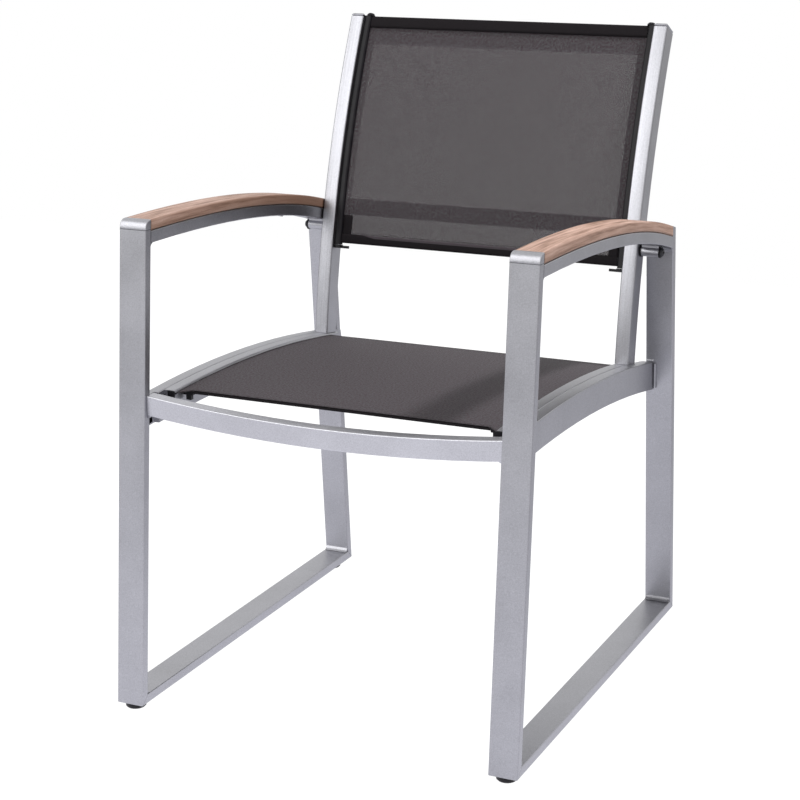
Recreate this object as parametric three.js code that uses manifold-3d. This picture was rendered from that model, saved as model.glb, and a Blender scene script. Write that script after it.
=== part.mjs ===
// Sling patio armchair: two welded side frames of flat aluminium tube with teak arm strips, an arched
// seat frame and a reclined back, both spanned with open-weave sling cloth held by beads in slots.
// Millimetres, +Z up, the chair faces -Y, the origin is the middle of its footprint on the floor.
import * as THREE from 'three';
import { mergeVertices } from 'three/addons/utils/BufferGeometryUtils.js';
import Module from 'manifold-3d';

const wasm = await Module();
wasm.setup();

// Fits: the gap left at every welded or pressed joint, and how far a cutting body runs past its work.
const FIT_GAP = 0.3;
const REACH = 900;

// Side frames: a closed loop of flat tube on each side, wider at the floor than at the arm.
const WIDTH = 584;
const BASE_DEPTH = 643;
const FRONT_TOP = 663.5;
const FRONT_SETBACK = 57;
const REAR_TOP = 606;
const REAR_SETBACK = 46.5;
const TUBE_WIDTH = 40;
const TUBE_THICK = 13;
const TUBE_WALL = 1.8;
const TUBE_EASE = 1.4;
const LEG_TOP_ROUND = 11.5;

// Glides: round plastic feet with a stem pressed into the runner.
const GLIDE_HEIGHT = 8;
const GLIDE_RADIUS = 14;
const GLIDE_CHAMFER = 2;
const GLIDE_STEM_RADIUS = 4.5;
const GLIDE_STEM_LENGTH = 9;
const GLIDE_FRONT_INSET = 15;
const GLIDE_REAR_INSET = 34;

// Arms: a bowed teak strip between the leg tops, over a bowed tube that joins the legs.
const TEAK_THICK = 14.6;
const TEAK_EASE = 2.2;
const ARM_TUBE_THICK = 16;
const ARM_CROWN = 17;
const ARM_CROWN_SHARE = 0.627;
const ARM_SCREW_RADIUS = 4.5;
const ARM_SCREW_HEIGHT = 2.2;
const ARM_SCREW_SHARES = [0.2, 0.72];

// Seat frame: two arched side extrusions, a dipped front bar and a straight rear bar.
const SEAT_FRONT_HEIGHT = 433.5;
const SEAT_REAR_HEIGHT = 400;
const SEAT_CROWN = 16;
const RAIL_WIDTH = 35.5;
const RAIL_HEIGHT = 41;
const RAIL_BEHIND_LEG = 12;
const RAIL_WALL = 2;
const RAIL_EASE = 1.6;
const RAIL_INNER_CELL_HEIGHT = 26;
const RAIL_LIP = 2;
const RAIL_WEB = 1.6;
const RAIL_NOTCH_BEHIND = 4;
const RAIL_GROOVE_WIDTH = 2.4;
const RAIL_GROOVE_DEPTH = 1.2;
const RAIL_OUTER_BAND = 18;
const FRONT_BAR_HEIGHT = 27;
const FRONT_BAR_DEPTH = 20;
const FRONT_BAR_DIP = 15;
const FRONT_BAR_INSET = 4;
const REAR_BAR_SIZE = 25;
const REAR_BAR_DROP = 14;
const REAR_BAR_INSET = 15;

// Back frame: two bowed uprights that stand on the seat rails and lean back beside the rear legs.
const BACK_TOP = 880;
const BACK_RAKE = 140;
const BACK_BOW = 22;
const UPRIGHT_WIDTH = 21;
const UPRIGHT_DEPTH = 31.5;
const UPRIGHT_WALL = 1.8;
const UPRIGHT_EASE = 2;
const UPRIGHT_CLEARANCE = 1.5;
const UPRIGHT_CAP_THICK = 3;
const UPRIGHT_CAP_BEVEL = 2;
const UPRIGHT_CAP_SPIGOT = 12;

// Two flat cross tubes behind the back cloth hold the uprights apart.
const BACK_BAR_HEIGHTS = [597, 845];
const BACK_BAR_WIDTH = 25;
const BACK_BAR_DEPTH = 11;
const BACK_BAR_INSET = 0.8;

// Arm mounts: a round sleeve under each arm tube that the upright is bolted to.
const SLEEVE_RADIUS = 7.2;
const SLEEVE_LENGTH = 25;
const WASHER_RADIUS = 8.2;
const WASHER_THICK = 2;
const BOLT_RADIUS = 4;
const BOLT_HEAD_RADIUS = 6.2;
const BOLT_HEAD_HEIGHT = 3.6;
const BOLT_GRIP = 14;
const MOUNT_INSET = 20.5;

// Sling cloth: one panel for the seat and one for the back, with beaded side edges.
const CLOTH_THICK = 1.2;
const BEAD_RADIUS = 2.5;
const BEAD_CORE_RADIUS = 1.3;
const SLOT_HALF = 1.1;
const SEAT_SLOT_DROP = 4.2;
const SEAT_CLOTH_FRONT = 72;
const SEAT_HEM_FRONT = 95;
const SEAT_CLOTH_REAR = 538;
const SEAT_SAG = 6;
const HEM_POCKET_ROOM = 0.4;
const SEAT_BATTEN_WIDTH = 20;
const SEAT_BATTEN_THICK = 2.5;
const SEAT_HEM_DROP = 1;
const BATTEN_END_LENGTH = 14;
const BATTEN_END_WALL = 1.6;
const BATTEN_END_CLEARANCE = 1;
const BACK_SLOT_DEPTH = 12;
const CHANNEL_WIDTH = 9.5;
const CHANNEL_DEPTH = 11;
const CHANNEL_BORE_SHARE = 0.5;
const CHANNEL_ROUND = 3;
const CHANNEL_ROUND_SHARE = 0.3;
const CHANNEL_END_LENGTH = 5;
const CHANNEL_END_RADIUS = 6.4;
const CHANNEL_END_SHARES = [0.4, 0.75, 0.85];
const CHANNEL_LUG_LENGTH = 12;
const CHANNEL_LUG_THICK = 4;
const BACK_CLOTH_TOP = 877.5;
const BACK_CLOTH_BOTTOM = 549.5;
const BACK_CHANNEL_OVER = 3;
const BACK_BATTEN_WIDTH = 11;
const BACK_BATTEN_THICK = 4;

// Weld beads at the joints where they show.
const WELD_SIZE = 6;
const WELD_SMALL = 4;

// Mesh fineness: straight steps along a bowed piece, sides of a round one, steps over an eased edge.
const BOW_STEPS = 14;
const ROUND_SIDES = 24;
const BEAD_SIDES = 8;
const EASE_STEPS = 2;
const SHEET_ALONG = 14;
const SHEET_ACROSS = 12;

const OUTER = WIDTH / 2;
const INNER = OUTER - TUBE_WIDTH;
const railOuter = INNER + RAIL_BEHIND_LEG;
const railInner = railOuter - RAIL_WIDTH;

function finish(color, roughness, metalness) {
  return new THREE.MeshStandardMaterial({ color, roughness, metalness });
}
const ALUMINIUM = [0xb4b4bc, 0.38, 0.85];
const TEAK = [0xb98a6c, 0.6, 0];
const BLACK = [0x17161a, 0.45, 0];
const CLOTH = [0x5a5256, 0.85, 0];
const STEEL = [0x9a9a9e, 0.3, 0.9];

// Closed three.js geometry to a solid and back.
function solid(geometry) {
  const plain = geometry.index ? geometry.toNonIndexed() : geometry.clone();
  plain.deleteAttribute('normal');
  plain.deleteAttribute('uv');
  const merged = mergeVertices(plain);
  const vertProperties = new Float32Array(merged.attributes.position.array);
  const triVerts = new Uint32Array(merged.index.array);
  return new wasm.Manifold(new wasm.Mesh({ numProp: 3, vertProperties, triVerts }));
}

function surface(body) {
  const mesh = body.getMesh();
  const geometry = new THREE.BufferGeometry();
  const corners = new Float32Array(mesh.numVert * 3);
  for (let i = 0; i < mesh.numVert; i += 1) {
    for (let k = 0; k < 3; k += 1) corners[3 * i + k] = mesh.vertProperties[mesh.numProp * i + k];
  }
  geometry.setAttribute('position', new THREE.BufferAttribute(corners, 3));
  geometry.setIndex(new THREE.BufferAttribute(new Uint32Array(mesh.triVerts), 1));
  geometry.computeVertexNormals();
  return geometry;
}

// The left-hand twin of a right-hand solid: x changes sign and each face is turned over.
function twin(body) {
  const geometry = surface(body);
  geometry.scale(-1, 1, 1);
  const index = geometry.index.array;
  for (let i = 0; i < index.length; i += 3) [index[i], index[i + 1]] = [index[i + 1], index[i]];
  return solid(geometry);
}

const join = (bodies) => bodies.reduce((all, body) => all.add(body));

// Frames for the two ways that an outline is run out: across the chair, and from front to back.
const ACROSS = new THREE.Matrix4().makeBasis(
  new THREE.Vector3(0, 1, 0),
  new THREE.Vector3(0, 0, 1),
  new THREE.Vector3(1, 0, 0),
);
const BACKWARD = new THREE.Matrix4().makeBasis(
  new THREE.Vector3(1, 0, 0),
  new THREE.Vector3(0, 0, 1),
  new THREE.Vector3(0, -1, 0),
);

function runOut(outline, length, ease) {
  const shape = outline instanceof THREE.Shape ? outline : outlineShape(outline);
  const eased = ease > 0;
  const geometry = new THREE.ExtrudeGeometry(shape, {
    depth: length - 2 * ease,
    steps: 1,
    curveSegments: 6,
    bevelEnabled: eased,
    bevelThickness: ease,
    bevelSize: ease,
    bevelOffset: -ease,
    bevelSegments: EASE_STEPS,
  });
  return geometry.translate(0, 0, ease);
}

// An outline in the side view, [y, z], run across the chair from x0 to x1.
function across(outline, x0, x1, ease = 0) {
  return solid(runOut(outline, x1 - x0, ease).applyMatrix4(ACROSS).translate(x0, 0, 0));
}

// An outline in the front view, [x, z], run back from y0 to y1.
function backward(outline, y0, y1, ease = 0) {
  return solid(runOut(outline, y1 - y0, ease).applyMatrix4(BACKWARD).translate(0, y1, 0));
}

// A round bar along X, with an optional bore.
function roundBar(x0, x1, radius, y, z, bore = 0) {
  const bar = new THREE.CylinderGeometry(radius, radius, x1 - x0, ROUND_SIDES);
  const place = (geometry) => solid(geometry.rotateZ(Math.PI / 2).translate((x0 + x1) / 2, y, z));
  const outer = place(bar);
  if (bore === 0) return outer;
  return outer.subtract(place(new THREE.CylinderGeometry(bore, bore, REACH, ROUND_SIDES)));
}

// The stretch of a bowed line that a search covers, and its turns.
const SEARCH_SHARES = [-0.5, 1.5];
const SEARCH_TURNS = 50;

// A bowed line in the side view: the parabola through two ends and a pull point. It can run past its ends.
class Bow {
  constructor(start, pull, end) {
    this.start = start;
    this.pull = pull;
    this.end = end;
  }

  point(t) {
    const w = 1 - t;
    return [0, 1].map((k) => w * w * this.start[k] + 2 * w * t * this.pull[k] + t * t * this.end[k]);
  }

  direction(t) {
    const d = [0, 1].map((k) => (1 - t) * (this.pull[k] - this.start[k]) + t * (this.end[k] - this.pull[k]));
    const size = Math.hypot(d[0], d[1]);
    return [d[0] / size, d[1] / size];
  }

  // The point at t, moved off the line: to the right of its direction is positive.
  beside(t, offset) {
    const [y, z] = this.point(t);
    const [dy, dz] = this.direction(t);
    return [y + dz * offset, z - dy * offset];
  }

  // Where the line, or one beside it, reaches a value of y (axis 0) or z (axis 1).
  reach(axis, value, offset = 0) {
    let [low, high] = SEARCH_SHARES;
    const rising = this.end[axis] > this.start[axis];
    for (let i = 0; i < SEARCH_TURNS; i += 1) {
      const middle = (low + high) / 2;
      if (this.beside(middle, offset)[axis] < value === rising) low = middle;
      else high = middle;
    }
    return (low + high) / 2;
  }

  length() {
    const [y0, z0] = this.start;
    const [y1, z1] = this.end;
    return Math.hypot(y1 - y0, z1 - z0);
  }
}

// The closed outline between two lines beside a bow, for t from one value to another.
function strip(bow, near, far, from, to, steps = BOW_STEPS) {
  const ts = Array.from({ length: steps + 1 }, (_, i) => from + ((to - from) * i) / steps);
  const first = ts.map((t) => bow.beside(t, far));
  const second = ts.map((t) => bow.beside(t, near)).reverse();
  return [...first, ...second];
}

// A bow as a curve in space at a given x, for sections that are swept along it.
class BowPath extends THREE.Curve {
  constructor(bow, x, offset, from, to) {
    super();
    Object.assign(this, { bow, x, offset, from, to });
  }

  getPoint(u, target = new THREE.Vector3()) {
    const [y, z] = this.bow.beside(this.from + (this.to - this.from) * u, this.offset);
    return target.set(this.x, y, z);
  }
}

function sweep(shape, path, steps = BOW_STEPS) {
  return solid(new THREE.ExtrudeGeometry(shape, { extrudePath: path, steps, curveSegments: BEAD_SIDES / 4 }));
}

const outlineShape = (points) => new THREE.Shape(points.map(([u, v]) => new THREE.Vector2(u, v)));

// A rectangle from (u0, v0) to (u1, v1) whose corners are cut at 45 degrees by the ease.
function easedBox(u0, v0, u1, v1, ease) {
  return [
    [u0 + ease, v0],
    [u1 - ease, v0],
    [u1, v0 + ease],
    [u1, v1 - ease],
    [u1 - ease, v1],
    [u0 + ease, v1],
    [u0, v1 - ease],
    [u0, v0 + ease],
  ];
}

const box = (u0, v0, u1, v1) => [[u0, v0], [u1, v0], [u1, v1], [u0, v1]];

function disc(radius) {
  return Array.from({ length: BEAD_SIDES }, (_, i) => {
    const angle = (2 * Math.PI * (i + 0.5)) / BEAD_SIDES;
    return [radius * Math.cos(angle), radius * Math.sin(angle)];
  });
}

// A bead slot that opens toward +u at u = mouth: a round bore with a narrow neck.
function slotPoints(centre, v, mouth) {
  const bore = BEAD_RADIUS + FIT_GAP;
  const neck = Math.asin(SLOT_HALF / bore);
  const turns = BEAD_SIDES + 2;
  const wall = Array.from({ length: turns + 1 }, (_, i) => {
    const angle = -neck - ((2 * Math.PI - 2 * neck) * i) / turns;
    return [centre + bore * Math.cos(angle), v + bore * Math.sin(angle)];
  });
  return [[mouth, v - SLOT_HALF], ...wall, [mouth, v + SLOT_HALF]];
}

// Everything to the right of the line a-b in the side view, as a cutting body across the chair.
function rightOf(a, b, gap = 0) {
  const size = Math.hypot(b[0] - a[0], b[1] - a[1]);
  const d = [(b[0] - a[0]) / size, (b[1] - a[1]) / size];
  const n = [d[1], -d[0]];
  const at = (along, off) => [a[0] + d[0] * along + n[0] * off, a[1] + d[1] * along + n[1] * off];
  const outline = [at(-REACH, -gap), at(-REACH, REACH), at(REACH, REACH), at(REACH, -gap)];
  return across(outline, -REACH, REACH);
}

// The lines of the side frame in the side view.
const lineAt = (line, z) => {
  const [a, b] = line;
  return a[0] + ((b[0] - a[0]) * (z - a[1])) / (b[1] - a[1]);
};
const onLine = (line, z) => [lineAt(line, z), z];
function shifted(line, offset) {
  const [a, b] = line;
  const size = Math.hypot(b[0] - a[0], b[1] - a[1]);
  const n = [((b[1] - a[1]) / size) * offset, (-(b[0] - a[0]) / size) * offset];
  return [a, b].map((point) => [point[0] + n[0], point[1] + n[1]]);
}
const RUNNER_TOP = GLIDE_HEIGHT + TUBE_THICK;
const frontFace = [[0, GLIDE_HEIGHT], [FRONT_SETBACK, FRONT_TOP]];
const frontBack = shifted(frontFace, TUBE_THICK);
const rearBack = [[BASE_DEPTH, GLIDE_HEIGHT], [BASE_DEPTH - REAR_SETBACK, REAR_TOP]];
const rearFace = shifted(rearBack, -TUBE_THICK);

// A bow from its two ends, its crown and the share of the span at which the crown pulls.
function bowOf(start, end, crown, share = 0.5) {
  const pull = [start[0] + (end[0] - start[0]) * share, start[1] + (end[1] - start[1]) * share + 2 * crown];
  return new Bow(start, pull, end);
}
const arm = bowOf(onLine(frontBack, FRONT_TOP), onLine(rearFace, REAR_TOP), ARM_CROWN, ARM_CROWN_SHARE);
const seat = bowOf(
  onLine(frontBack, SEAT_FRONT_HEIGHT),
  onLine(rearFace, SEAT_REAR_HEIGHT),
  SEAT_CROWN,
);
const OVERSHOOT_SHARE = 0.06;
const ARM_TUBE_TOP = TEAK_THICK + FIT_GAP;
const ARM_TUBE_UNDER = ARM_TUBE_TOP + ARM_TUBE_THICK;

const frontLegRegion = (gap) => rightOf(frontBack[1], frontBack[0], gap);
const rearLegRegion = (gap) => rightOf(...rearFace, gap);
const betweenLegs = (body, gap) => body.subtract(frontLegRegion(gap)).subtract(rearLegRegion(gap));

// Mitres where the legs meet the runner.
const frontMitre = [frontFace[0], onLine(frontBack, RUNNER_TOP)];
const rearMitre = [onLine(rearFace, RUNNER_TOP), rearBack[0]];

// A weld bead in the corner of two faces in the side view, run across the chair. It is part of the piece
// that has the second face, and clears the first one.
const FILLET_SHARES = [0.5, 0.36];
function fillet(corner, along, up, size, x0, x1) {
  const at = (a, b) => [corner[0] + along[0] * a + up[0] * b, corner[1] + along[1] * a + up[1] * b];
  const [mid, low] = FILLET_SHARES.map((share) => share * size);
  const g = FIT_GAP;
  const outline = [at(-g, g), at(size, g), at(mid, low), at(low, mid), at(g, size), at(-g, size)];
  const turn = along[0] * up[1] - along[1] * up[0];
  return across(turn > 0 ? outline : outline.reverse(), x0, x1);
}

const weldStart = INNER + TUBE_EASE;
const weldEnd = OUTER - TUBE_EASE;
const opposite = ([y, z]) => [-y, -z];
function directionOf([a, b]) {
  const size = Math.hypot(b[0] - a[0], b[1] - a[1]);
  return [(b[0] - a[0]) / size, (b[1] - a[1]) / size];
}

// The height of a line beside the arm's top at a given y.
const heightUnderArm = (y, offset) => arm.beside(arm.reach(0, y, offset), offset)[1];

// Where the underside of the arm tube meets the line of a leg.
function armCorner(line) {
  let z = line[1][1];
  for (let i = 0; i < SEARCH_TURNS; i += 1) z = heightUnderArm(lineAt(line, z), ARM_TUBE_UNDER);
  return onLine(line, z);
}

function frontLeg() {
  const head = frontFace[1];
  const outline = new THREE.Shape();
  const foot = onLine(frontFace, -REACH);
  const heel = onLine(frontBack, -REACH);
  const rise = onLine(frontFace, FRONT_TOP - LEG_TOP_ROUND);
  outline.moveTo(...foot);
  outline.lineTo(...heel);
  outline.lineTo(...onLine(frontBack, FRONT_TOP));
  outline.lineTo(head[0] + LEG_TOP_ROUND, head[1]);
  outline.quadraticCurveTo(head[0], head[1], rise[0], rise[1]);
  const [near, far] = [shifted(frontFace, TUBE_WALL), shifted(frontFace, TUBE_THICK - TUBE_WALL)];
  const top = FRONT_TOP - TEAK_THICK;
  const up = directionOf(frontBack);
  const bore = [onLine(near, -REACH), onLine(far, -REACH), onLine(far, top), onLine(near, top)];
  return across(outline, INNER, OUTER, TUBE_EASE)
    .subtract(across(bore, INNER + TUBE_WALL, OUTER - TUBE_WALL))
    .subtract(rightOf(...frontMitre))
    .add(fillet(onLine(frontBack, RUNNER_TOP), [1, 0], up, WELD_SIZE, weldStart, weldEnd))
    .add(fillet(armCorner(frontBack), arm.direction(0), opposite(up), WELD_SIZE, weldStart, weldEnd));
}

function rearLeg() {
  const [dy, dz] = arm.direction(1);
  const backHead = arm.end[0] + (rearBack[1][0] - rearFace[1][0]);
  const head = [backHead, arm.end[1] + ((backHead - arm.end[0]) * dz) / dy];
  const outline = [onLine(rearFace, -REACH), onLine(rearBack, -REACH), head, arm.end];
  const [near, far] = [shifted(rearFace, TUBE_WALL), shifted(rearFace, TUBE_THICK - TUBE_WALL)];
  const top = REAR_TOP - TEAK_THICK;
  const up = directionOf(rearFace);
  const railEnd = onLine(rearFace, SEAT_REAR_HEIGHT);
  const [high, low] = [SEAT_REAR_HEIGHT - RAIL_EASE, SEAT_REAR_HEIGHT + RAIL_EASE - RAIL_HEIGHT];
  const [upper, lower] = [lineAt(rearFace, high), lineAt(rearFace, low)];
  const side = [
    [lower + FIT_GAP, low],
    [upper + FIT_GAP, high],
    [upper - WELD_SMALL, high],
    [lower - WELD_SMALL, low],
  ];
  const sideBead = across(side, railOuter + FIT_GAP, railOuter + WELD_SMALL, WELD_SMALL / 3);
  const bore = [onLine(near, -REACH), onLine(far, -REACH), onLine(far, top), onLine(near, top)];
  return across(outline, INNER, OUTER, TUBE_EASE)
    .subtract(across(bore, INNER + TUBE_WALL, OUTER - TUBE_WALL))
    .subtract(rightOf(...rearMitre))
    .add(fillet(onLine(rearFace, RUNNER_TOP), [-1, 0], up, WELD_SIZE, weldStart, weldEnd))
    .add(fillet(armCorner(rearFace), opposite(arm.direction(1)), opposite(up), WELD_SIZE, weldStart, weldEnd))
    .add(fillet(railEnd, opposite(seat.direction(1)), up, WELD_SMALL, weldStart, railOuter))
    .add(sideBead);
}

const glideX = OUTER - TUBE_WIDTH / 2;
const glidePlaces = [GLIDE_FRONT_INSET, BASE_DEPTH - GLIDE_REAR_INSET];

function runner() {
  const outline = box(-REACH, GLIDE_HEIGHT, REACH + BASE_DEPTH, RUNNER_TOP);
  const bore = box(-REACH, GLIDE_HEIGHT + TUBE_WALL, REACH + BASE_DEPTH, RUNNER_TOP - TUBE_WALL);
  let body = across(outline, INNER, OUTER, TUBE_EASE)
    .subtract(across(bore, INNER + TUBE_WALL, OUTER - TUBE_WALL))
    .subtract(rightOf(frontMitre[1], frontMitre[0], FIT_GAP))
    .subtract(rightOf(rearMitre[1], rearMitre[0], FIT_GAP));
  for (const y of glidePlaces) {
    const radius = GLIDE_STEM_RADIUS + FIT_GAP;
    const drill = new THREE.CylinderGeometry(radius, radius, 2 * TUBE_THICK, ROUND_SIDES / 2);
    body = body.subtract(solid(drill.rotateX(Math.PI / 2).translate(glideX, y, GLIDE_HEIGHT - TUBE_WALL)));
  }
  return body;
}

// A glide turned about its stem.
function glide(x, y) {
  const top = GLIDE_HEIGHT - FIT_GAP;
  const profile = [
    [0, 0],
    [GLIDE_RADIUS - GLIDE_CHAMFER, 0],
    [GLIDE_RADIUS, GLIDE_CHAMFER],
    [GLIDE_RADIUS, top - GLIDE_CHAMFER / 2],
    [GLIDE_RADIUS - GLIDE_CHAMFER / 2, top],
    [GLIDE_STEM_RADIUS, top],
    [GLIDE_STEM_RADIUS, top + GLIDE_STEM_LENGTH],
    [0, top + GLIDE_STEM_LENGTH],
  ].map(([r, z]) => new THREE.Vector2(r, z));
  const turned = new THREE.LatheGeometry(profile, ROUND_SIDES);
  return solid(turned.rotateX(Math.PI / 2).translate(x, y, 0));
}

// Arm: the teak strip, and below it the bowed tube, open where it meets the legs.
function teakArm() {
  const outline = strip(arm, 0, TEAK_THICK, -OVERSHOOT_SHARE, 1 + OVERSHOOT_SHARE);
  return betweenLegs(across(outline, INNER, OUTER, TEAK_EASE), FIT_GAP);
}

function armTube() {
  const ends = [-OVERSHOOT_SHARE, 1 + OVERSHOOT_SHARE];
  const outer = strip(arm, ARM_TUBE_TOP, ARM_TUBE_UNDER, ...ends);
  const bore = strip(arm, ARM_TUBE_TOP + TUBE_WALL, ARM_TUBE_UNDER - TUBE_WALL, ...ends);
  const body = across(outer, INNER, OUTER, TUBE_EASE);
  return betweenLegs(body.subtract(across(bore, INNER + TUBE_WALL, OUTER - TUBE_WALL)), FIT_GAP);
}

// Screw heads under the arm tube, square to it.
function armScrew(share) {
  const [y, z] = arm.beside(share, ARM_TUBE_UNDER + FIT_GAP + ARM_SCREW_HEIGHT / 2);
  const [dy, dz] = arm.direction(share);
  const low = ARM_SCREW_RADIUS - ARM_SCREW_HEIGHT / 2;
  const head = new THREE.CylinderGeometry(ARM_SCREW_RADIUS, low, ARM_SCREW_HEIGHT, BEAD_SIDES * 2);
  return solid(head.rotateX(Math.PI / 2 + Math.atan2(dz, dy)).translate(glideX, y, z));
}

// Seat side rail: an arched extrusion of two cells with a web between, a groove along its top and a bead
// slot on its inner side. The outer cell butts on both legs, the inner one ends behind the upright.
const seatBeadU = RAIL_WIDTH - RAIL_WALL - BEAD_RADIUS;
const webStart = RAIL_OUTER_BAND - RAIL_WEB / 2;
const webEnd = webStart + RAIL_WEB;
const webInner = railOuter - webEnd;

function railSection() {
  const [w, h, e] = [RAIL_WIDTH, RAIL_HEIGHT, RAIL_EASE];
  const half = RAIL_GROOVE_WIDTH / 2;
  const section = outlineShape([
    [e, -h],
    [w - e, -h],
    [w, -h + e],
    ...slotPoints(seatBeadU, -SEAT_SLOT_DROP, w),
    [w, -RAIL_LIP],
    [w - RAIL_LIP, 0],
    [RAIL_OUTER_BAND + half, 0],
    [RAIL_OUTER_BAND, -RAIL_GROOVE_DEPTH],
    [RAIL_OUTER_BAND - half, 0],
    [e, 0],
    [0, -e],
    [0, e - h],
  ]);
  const floor = RAIL_WALL - h;
  const raised = floor + e / 2;
  const outerCell = box(RAIL_WALL, floor, webStart, -RAIL_WALL);
  const innerCell = box(webEnd, raised, w - RAIL_WALL, raised + RAIL_INNER_CELL_HEIGHT);
  for (const cell of [outerCell, innerCell]) {
    section.holes.push(new THREE.Path(cell.map(([u, v]) => new THREE.Vector2(u, v))));
  }
  return section;
}

const frontBarFace = lineAt(frontFace, SEAT_FRONT_HEIGHT) + FRONT_BAR_INSET;
const frontBarBack = frontBarFace + FRONT_BAR_DEPTH;

function seatRail() {
  const path = new BowPath(seat, railOuter, 0, -OVERSHOOT_SHARE, 1 + OVERSHOOT_SHARE);
  const beyond = across(box(-REACH, -REACH, frontBarBack + FIT_GAP, REACH), -REACH, INNER + FIT_GAP);
  const notchFrom = back.beside(0, UPRIGHT_DEPTH)[0] + RAIL_NOTCH_BEHIND;
  const notch = across(box(notchFrom, -REACH, REACH, REACH), -REACH, webInner);
  return betweenLegs(sweep(railSection(), path), FIT_GAP).subtract(beyond).subtract(notch);
}

// Front bar: a tube that dips in the middle, welded between the front legs.
const frontBarTop = seat.start[1];

function frontBar() {
  const dip = new Bow([-INNER, frontBarTop], [0, frontBarTop - 2 * FRONT_BAR_DIP], [INNER, frontBarTop]);
  const spread = FRONT_BAR_INSET / INNER;
  const outer = strip(dip, 0, FRONT_BAR_HEIGHT, -spread, 1 + spread);
  const bore = strip(dip, TUBE_WALL, FRONT_BAR_HEIGHT - TUBE_WALL, -spread, 1 + spread);
  const cut = (x0, x1) => across(box(-REACH, -REACH, REACH, REACH), x0, x1);
  const body = backward(outer, frontBarFace, frontBarBack, TUBE_EASE)
    .subtract(backward(bore, frontBarFace + TUBE_WALL, frontBarBack - TUBE_WALL))
    .subtract(cut(-REACH, FIT_GAP - INNER))
    .subtract(cut(INNER - FIT_GAP, REACH));
  const under = frontBarTop - FRONT_BAR_HEIGHT;
  const [end, s] = [INNER - FIT_GAP, WELD_SMALL];
  const inboard = end - 2 * s;
  const wedge = [[end, under + s], [inboard, under + s], [inboard, under + FIT_GAP], [end, under - s]];
  const bead = backward(wedge, frontBarFace + TUBE_EASE, frontBarBack - TUBE_EASE);
  return join([body, bead, twin(bead)]);
}

// Rear bar: a straight square tube between the side rails, below the cloth.
function rearBar() {
  const rear = lineAt(rearFace, SEAT_REAR_HEIGHT) - REAR_BAR_INSET;
  const top = seat.point(seat.reach(0, rear))[1] - REAR_BAR_DROP;
  const size = REAR_BAR_SIZE;
  const end = webInner - FIT_GAP;
  const bore = box(rear - size + TUBE_WALL, top - size + TUBE_WALL, rear - TUBE_WALL, top - TUBE_WALL);
  const outer = across(easedBox(rear - size, top - size, rear, top, TUBE_EASE), -end, end);
  return outer.subtract(across(bore, -REACH, REACH));
}

// Back upright: the bow of its front face runs from the seat rail to the top.
const uprightOuter = INNER - UPRIGHT_CLEARANCE;
const uprightInner = uprightOuter - UPRIGHT_WIDTH;
function backBow(footY) {
  const footZ = seat.point(seat.reach(0, footY))[1];
  const middle = [footY + BACK_RAKE / 2 - 2 * BACK_BOW, (footZ + BACK_TOP) / 2];
  return new Bow([footY, footZ], middle, [footY + BACK_RAKE, BACK_TOP]);
}

// Where the middle line of an upright is level with a sleeve that touches the underside of the arm tube.
function mountOn(bow) {
  const drop = ARM_TUBE_UNDER + FIT_GAP + WASHER_RADIUS;
  let y = arm.end[0];
  for (let i = 0; i < SEARCH_TURNS; i += 1) {
    const z = heightUnderArm(y, drop);
    y = bow.beside(bow.reach(1, z, UPRIGHT_DEPTH / 2), UPRIGHT_DEPTH / 2)[0];
  }
  return { y, z: heightUnderArm(y, drop) };
}

// The back is set so that its mounts keep their distance from the rear legs.
function placeBack() {
  let footY = lineAt(rearFace, SEAT_REAR_HEIGHT) - BACK_RAKE / 2;
  for (let i = 0; i < SEARCH_TURNS; i += 1) {
    const { y, z } = mountOn(backBow(footY));
    footY += lineAt(rearFace, z) - MOUNT_INSET - y;
  }
  return backBow(footY);
}
const back = placeBack();
const mount = mountOn(back);
const capShare = UPRIGHT_CAP_THICK / back.length();
const footShare = UPRIGHT_DEPTH / back.length();

function upright() {
  const corners = easedBox(0, -UPRIGHT_DEPTH, UPRIGHT_WIDTH, 0, UPRIGHT_EASE);
  const section = outlineShape(corners);
  const wall = UPRIGHT_WALL;
  const cell = box(wall, wall - UPRIGHT_DEPTH, UPRIGHT_WIDTH - wall, -wall);
  section.holes.push(new THREE.Path(cell.map(([u, v]) => new THREE.Vector2(u, v))));
  const path = new BowPath(back, uprightOuter, 0, -footShare, 1 - capShare);
  const below = strip(seat, -FIT_GAP, REACH / 2, -OVERSHOOT_SHARE, 1 + OVERSHOOT_SHARE);
  const { y, z } = mount;
  return sweep(section, path)
    .subtract(across(below, -REACH, REACH))
    .subtract(roundBar(uprightOuter - wall - FIT_GAP, REACH, BOLT_RADIUS + FIT_GAP, y, z));
}

// A cross tube square to the uprights, close to their rear faces.
function backBar(height) {
  const far = UPRIGHT_DEPTH - BACK_BAR_INSET;
  const near = far - BACK_BAR_DEPTH;
  const t = back.reach(1, height, far);
  const share = BACK_BAR_WIDTH / back.length() / 2;
  const wall = UPRIGHT_WALL / back.length();
  const outer = strip(back, near, far, t - share, t + share, 1);
  const bore = strip(back, near + UPRIGHT_WALL, far - UPRIGHT_WALL, t - share + wall, t + share - wall, 1);
  const end = uprightInner - FIT_GAP;
  return across(outer, -end, end).subtract(across(bore, -REACH, REACH));
}

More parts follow.
